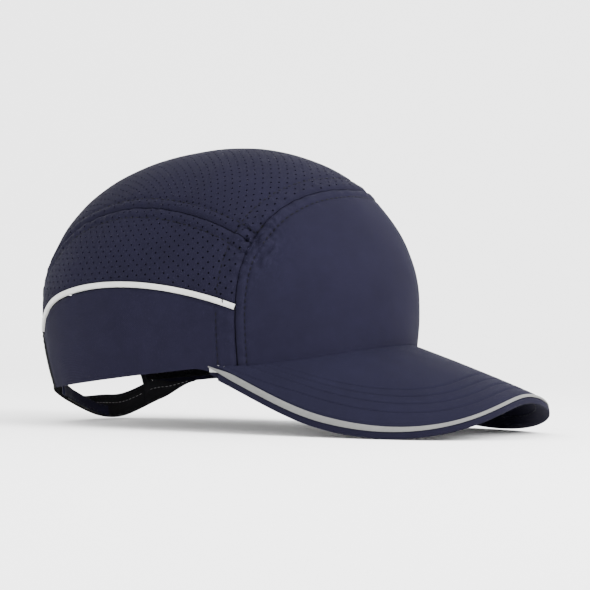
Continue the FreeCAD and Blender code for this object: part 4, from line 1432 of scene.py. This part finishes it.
def strap_row(start, end, depth, height, share, inside, rise=no_rise):
    """Line of points along a strap at a share of its height, on its inner or outer face."""
    angle = np.linspace(start, end, 220)
    z = strap_bottom(angle) + height(angle) * share + rise(angle)
    p, outward = strap_point(angle, z, depth(angle) + (STRAP_THICK + 0.1 if inside else -0.1))
    return p + outward * strap_ease(p), (-outward if inside else outward)


# Cross-section of the tab: share of its height, and level through its thickness
TAB_SECTION = [(0.0, 0.5), (0.03, 0.12), (0.10, 0.0), (0.35, 0.0), (0.65, 0.0), (0.92, 0.0), (1.0, 0.3),
               (1.0, 0.8), (0.92, 1.0), (0.65, 1.0), (0.35, 1.0), (0.10, 1.0), (0.03, 0.88)]


def build_tab():
    """Sewn end of the left strap, which slants up inside the side panel to the hem."""
    angle = np.linspace(TAB_START - 0.6, TAB_END, 90)
    low = strap_bottom(angle) + TAB_RISE * smooth((angle - TAB_RISE_FROM) / (TAB_END - TAB_RISE_FROM))
    strap_top = strap_bottom(angle) + STRAP_LEFT_HEIGHT
    hem_top = crown(hem(180.0 - angle))[0][..., 2] + TAB_TOP
    high = strap_top + (hem_top - strap_top) * smooth((angle - TAB_TOP_FROM) / TAB_TOP_OVER)
    depth = STRAP_LEFT_DEPTH + (TAB_DEPTH - STRAP_LEFT_DEPTH) * smooth((angle - TAB_START) / TAB_EASE)
    rings = []
    for v, level in TAB_SECTION:
        level = 0.5 + (level - 0.5) * np.where(angle < TAB_START, 0.6, 1.0)
        p, outward = strap_point(angle, low + (high - low) * v, depth + STRAP_THICK * level)
        rings.append(p + outward * strap_ease(p))
    keep(closed_tube("strap_left_sewn_end", rings, black_cloth), "strap_left_tab")
    rows = []
    for share in (0.10, 0.63):
        p, outward = strap_point(angle, low + (high - low) * share, depth + STRAP_THICK + 0.1)
        rows.append((p[11:-12], -outward[11:-12]))
    sew("strap_tab_overlock", rows[1:], grey_thread, "cap", 0.17, 1.5, 0.9)
    sew("strap_tab_stitches", rows[:1], black_thread, "cap")


def strap_rows(start, end, depth, height, shares, rise=no_rise):
    """Stitch lines along both faces of a strap."""
    sides = [(share, inside) for share in shares for inside in (True, False)]
    return [strap_row(start, end, depth, height, *side, rise) for side in sides]


def build_straps():
    left = (strap_left_depth, strap_left_height)
    band = strap_band("strap_left_band", STRAP_TAIL_END, STRAP_LEFT_END, *left, STRAP_THICK, 0.0, black_cloth,
                      tuck=3.0, rise=strap_left_rise)
    keep(band, "strap_left", "strap")
    rows = [strap_row(-15.0, 26.6, *left, 0.63, True, strap_left_rise)]
    sew("strap_left_overlock", rows, grey_thread, "strap", 0.17, 1.5, 0.9)
    rows = strap_rows(-22.5, 26.6, *left, (0.12, 0.88), strap_left_rise)
    sew("strap_left_stitches", rows, black_thread, "strap")
    build_tab()
    right = (strap_right_depth, strap_right_height)
    band = strap_band("strap_right_band", STRAP_RIGHT_END, STRAP_RIGHT_TIP, *right, STRAP_THICK, 0.3,
                      strap_cloth_with_painted_light)
    keep(band, "strap_right")
    rows = strap_rows(-28.8, 10.0, *right, (0.16, 0.84))
    sew("strap_right_stitches", rows, navy_thread, "cap")
    depth = lambda angle: strap_left_depth(angle) + STRAP_THICK + PATCH_GAP
    build_patch("hook_patch", depth, hooks, "strap")
    depth = lambda angle: strap_right_depth(angle) - PATCH_GAP - 1.1
    build_patch("loop_patch", depth, loops_cloth, "cap")


def build_patch(node, depth, material, body):
    """Patch of hook or loop tape on a strap."""
    patch = strap_band(node + "_tape", PATCH_FROM, PATCH_TO, depth, strap_right_height, PATCH_THICK,
                       PATCH_LIFT, material, 90)
    keep(patch, node, body)


# ---------------------------------------------------------------- topstitching
def build_topstitches():
    """Rows of stitches beside the crown's seams, each lying in the dent that it pulls."""
    rows = []
    for row in STITCH_ROWS:
        line, normal = on_cloth(row)
        azimuth = np.abs(azimuth_of(row))
        gap = rise_of(row) - rise_of(piping_line(azimuth, 1, PIPING_ANGLE / 2))
        on_piping = (np.abs(gap) < 1.7) & (azimuth > FRONT_SEAM_AZIMUTH - 0.8)
        rows += runs(line, normal, ~on_piping & (outside_arch(row, BINDING_ANGLE + 1.0) > 0))
    for side in (-1, 1):
        rise = np.linspace(1.75, -1.75, 9)
        azimuth = FRONT_SEAM_AZIMUTH + 3.2
        d = heading(side * azimuth, rise_of(piping_line(azimuth, 1, PIPING_ANGLE / 2)) + rise)
        line, normal = crown(d)
        lift = 1.25 * np.sqrt(np.clip(1.0 - (rise / 1.6) ** 2, 0.0, 1.0))
        rows.append((line + normal * lift[:, None], normal))
    sew("crown_topstitches", rows, dark_thread_with_painted_shade, "cap", 0.24, 2.8, 0.7)


def runs(line, normal, good):
    """Unbroken stretches of a row."""
    out = []
    start = None
    for i, g in enumerate(list(good) + [False]):
        if g and start is None:
            start = i
        if not g and start is not None:
            if i - start > 6:
                out.append((line[start:i], normal[start:i]))
            start = None
    return out


# ---------------------------------------------------------------- insert
def shell_edge_rise(azimuth):
    back = smooth((np.abs(azimuth) - 60.0) / 90.0)
    return SHELL_FRONT_EDGE + (SHELL_BACK_EDGE - SHELL_FRONT_EDGE) * back


def shell_point(d, extra):
    d = unit(d)
    side = SHELL_SIDE_DEPTH + (SHELL_BACK_DEPTH - SHELL_SIDE_DEPTH) * smooth(d[..., 1])
    depth = SHELL_TOP_DEPTH + (side - SHELL_TOP_DEPTH) * (1.0 - d[..., 2] ** 2)
    return crown(d, depth + extra)


def edge_field(start, end, high):
    """Directions over a pad that stands on the shell's edge, between two azimuths."""
    def field(u, v):
        azimuth = start + (end - start) * u
        return heading(azimuth, shell_edge_rise(azimuth) + 1.0 + (high - 1.0) * v)

    return field


def foam_pad(name, field, node):
    """Fabric-faced foam pad: puffed between its welded edges, with a welded border."""
    nu, nv = 120, 60
    u, v = np.meshgrid(np.linspace(0, 1, nu), np.linspace(0, 1, nv), indexing="ij")
    d = field(u.ravel(), v.ravel())
    edge = np.minimum(np.minimum(u, 1 - u) * 2.2, np.minimum(v, 1 - v)).ravel()
    puff = (PAD_THICK - 1.6) * np.sqrt(smooth(edge / PAD_ROUND)) - bump(edge - 0.075, 0.5, 0.02)
    back, normal = shell_point(d, np.zeros(len(d)) + SHELL_THICK + PAD_GAP)
    front = back - normal * (PAD_BORDER + puff)[:, None]
    front += normal * (0.25 * wobble(front, 14.0, 41.0) + 0.08 * wobble(front, 4.0, 42.0))[:, None]
    faces = facing_out(back, grid_faces(nu, nv), normal)
    obj = thick_cloth(name, back, front, faces, None, pad_cloth, 60.0)
    keep(obj, node, "insert")


def build_insert():
    foam_pad("front_foam", edge_field(-38.0, 38.0, 22.0), "front_pad")
    foam_pad("side_foam_right", edge_field(-108.0, -52.0, 22.0), "side_pad_right")
    foam_pad("side_foam_left", edge_field(52.0, 108.0, 22.0), "side_pad_left")
    foam_pad("rear_foam", edge_field(148.0, 212.0, 20.0), "rear_pad")
    foam_pad("crown_foam", lambda u, v: over_top(52.0 + 80.0 * u, 22.0 * (2 * v - 1)), "crown_pad")
    build_shell_bead()


def build_shell_bead():
    """Rounded rim round the shell's lower edge."""
    azimuth = np.linspace(-180.0, 180.0, 361)[:-1]
    rise = shell_edge_rise(azimuth) + 0.9
    rings = []
    for a in np.linspace(0.0, 2 * math.pi, 11)[:-1]:
        d = heading(azimuth, rise + 0.55 * math.cos(a))
        rings.append(shell_point(d, 0.25 - 0.55 * math.sin(a))[0])
    points = np.stack(rings, 1).reshape(-1, 3)
    faces = grid_faces(len(azimuth), len(rings), close_u=True, close_v=True)
    bead_obj = new_mesh("shell_edge_bead", points, faces, shell_plastic, sharp=80.0)
    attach(bead_obj, "insert")


def dress_cad():
    """Materials for the CAD solids that show as they are."""
    for name, material in (("bump_shell", shell_plastic), ("brim_board", brim_sheet),
                           ("crown_loop_dots", loops_cloth), ("shell_hook_dots", hooks)):
        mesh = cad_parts[name].data
        if len(mesh.materials) == 0:
            mesh.materials.append(material)
        for k in range(len(mesh.materials)):
            mesh.materials[k] = material


# ---------------------------------------------------------------- light, floor, camera
def add_area(name, size, power, place, aim, color=(1.0, 1.0, 1.0)):
    """Rectangular soft light that looks at a point."""
    data = bpy.data.lights.new(name, "AREA")
    data.shape = "RECTANGLE"
    data.size, data.size_y = size
    data.energy = power
    data.color = color
    obj = bpy.data.objects.new(name, data)
    obj.location = place
    obj.rotation_euler = (Vector(aim) - Vector(place)).to_track_quat("-Z", "Y").to_euler()
    bpy.context.scene.collection.objects.link(obj)


def camera_axes(azimuth, rise, roll):
    a = math.radians(azimuth)
    e = math.radians(rise)
    back = np.array([math.sin(a) * math.cos(e), -math.cos(a) * math.cos(e), math.sin(e)])
    right = unit(np.cross([0.0, 0.0, 1.0], back))
    up = np.cross(back, right)
    r = math.radians(roll)
    return back, right * math.cos(r) - up * math.sin(r), right * math.sin(r) + up * math.cos(r)


def add_camera():
    back, x_axis, y_axis = camera_axes(CAMERA_AZIMUTH, CAMERA_RISE, CAMERA_ROLL)
    place = np.array([0.0, 0.0, AIM_HEIGHT]) + back * CAMERA_DISTANCE
    aim = np.array([0.0, 0.0, AIM_HEIGHT]) + x_axis * PAN_RIGHT + y_axis * PAN_UP
    back = unit(place - aim)
    right = unit(np.cross(y_axis, back))
    up = np.cross(back, right)
    right, up, back = (turn_to_table(v) for v in (right, up, back))
    data = bpy.data.cameras.new("camera")
    data.lens = LENS_MM
    data.sensor_width = 36.0
    data.clip_start = 0.05
    data.clip_end = 50.0
    obj = bpy.data.objects.new("camera", data)
    where = to_table(place)
    obj.matrix_world = Matrix([[right[0], up[0], back[0], where[0]], [right[1], up[1], back[1], where[1]],
                               [right[2], up[2], back[2], where[2]], [0, 0, 0, 1]])
    bpy.context.scene.collection.objects.link(obj)
    bpy.context.scene.camera = obj


def build_floor():
    """Pale sweep that runs from the floor up into the backdrop."""
    a = math.radians(CAMERA_AZIMUTH)
    away = np.array([-math.sin(a), math.cos(a), 0.0])
    side = np.array([away[1], -away[0], 0.0])
    profile = [(-2.2, 0.0), (-1.2, 0.0), (0.0, 0.0), (0.9, 0.0)]
    for k in range(1, 13):
        t = math.pi / 2 * k / 12
        profile.append((0.9 + 0.9 * math.sin(t), 0.9 - 0.9 * math.cos(t)))
    profile.append((1.8, 2.6))
    points = []
    for along, height in profile:
        for across in (-3.0, 3.0):
            points.append(away * along + side * across + np.array([0.0, 0.0, height - 0.0004]))
    mesh = bpy.data.meshes.new("floor")
    mesh.from_pydata([tuple(p) for p in points], [], grid_faces(len(profile), 2))
    mesh.polygons.foreach_set("use_smooth", [True] * len(mesh.polygons))
    obj = bpy.data.objects.new("floor", mesh)
    bpy.context.scene.collection.objects.link(obj)
    n = Nodes("paper")
    tone = n.ramp(n.noise(n.coords("Object"), 30.0, 3.0), (0.94, 0.94, 0.94), (0.96, 0.96, 0.96))
    mesh.materials.append(n.finish(tone, 0.9))


def build_light():
    back, x_axis, _up = camera_axes(CAMERA_AZIMUTH, CAMERA_RISE, 0.0)
    target = (0.0, 0.0, 0.06)
    key = Vector(back * 0.55 + x_axis * 1.0 + np.array([0, 0, 0.9]))
    fill = Vector(back * 1.1 - x_axis * 0.9 + np.array([0, 0, 0.35]))
    add_area("key", (0.8, 0.8), KEY_WATTS, key, target, (1.0, 0.99, 1.0))
    add_area("fill", (1.2, 1.0), FILL_WATTS, fill, target)
    add_area("top", (1.4, 1.4), TOP_WATTS, (0.0, 0.0, 1.5), target)
    world = bpy.data.worlds.new("studio")
    world.use_nodes = True
    sky = world.node_tree.nodes["Background"].inputs
    sky["Color"].default_value = (1.0, 1.0, 1.0, 1.0)
    sky["Strength"].default_value = ROOM_LIGHT
    bpy.context.scene.world = world


build_crown()
build_side_pipings()
build_arch_binding()
build_tapes()
build_sweatband()
build_label()
build_brim()
build_straps()
build_topstitches()
build_insert()
dress_cad()
build_floor()
build_light()
add_camera()
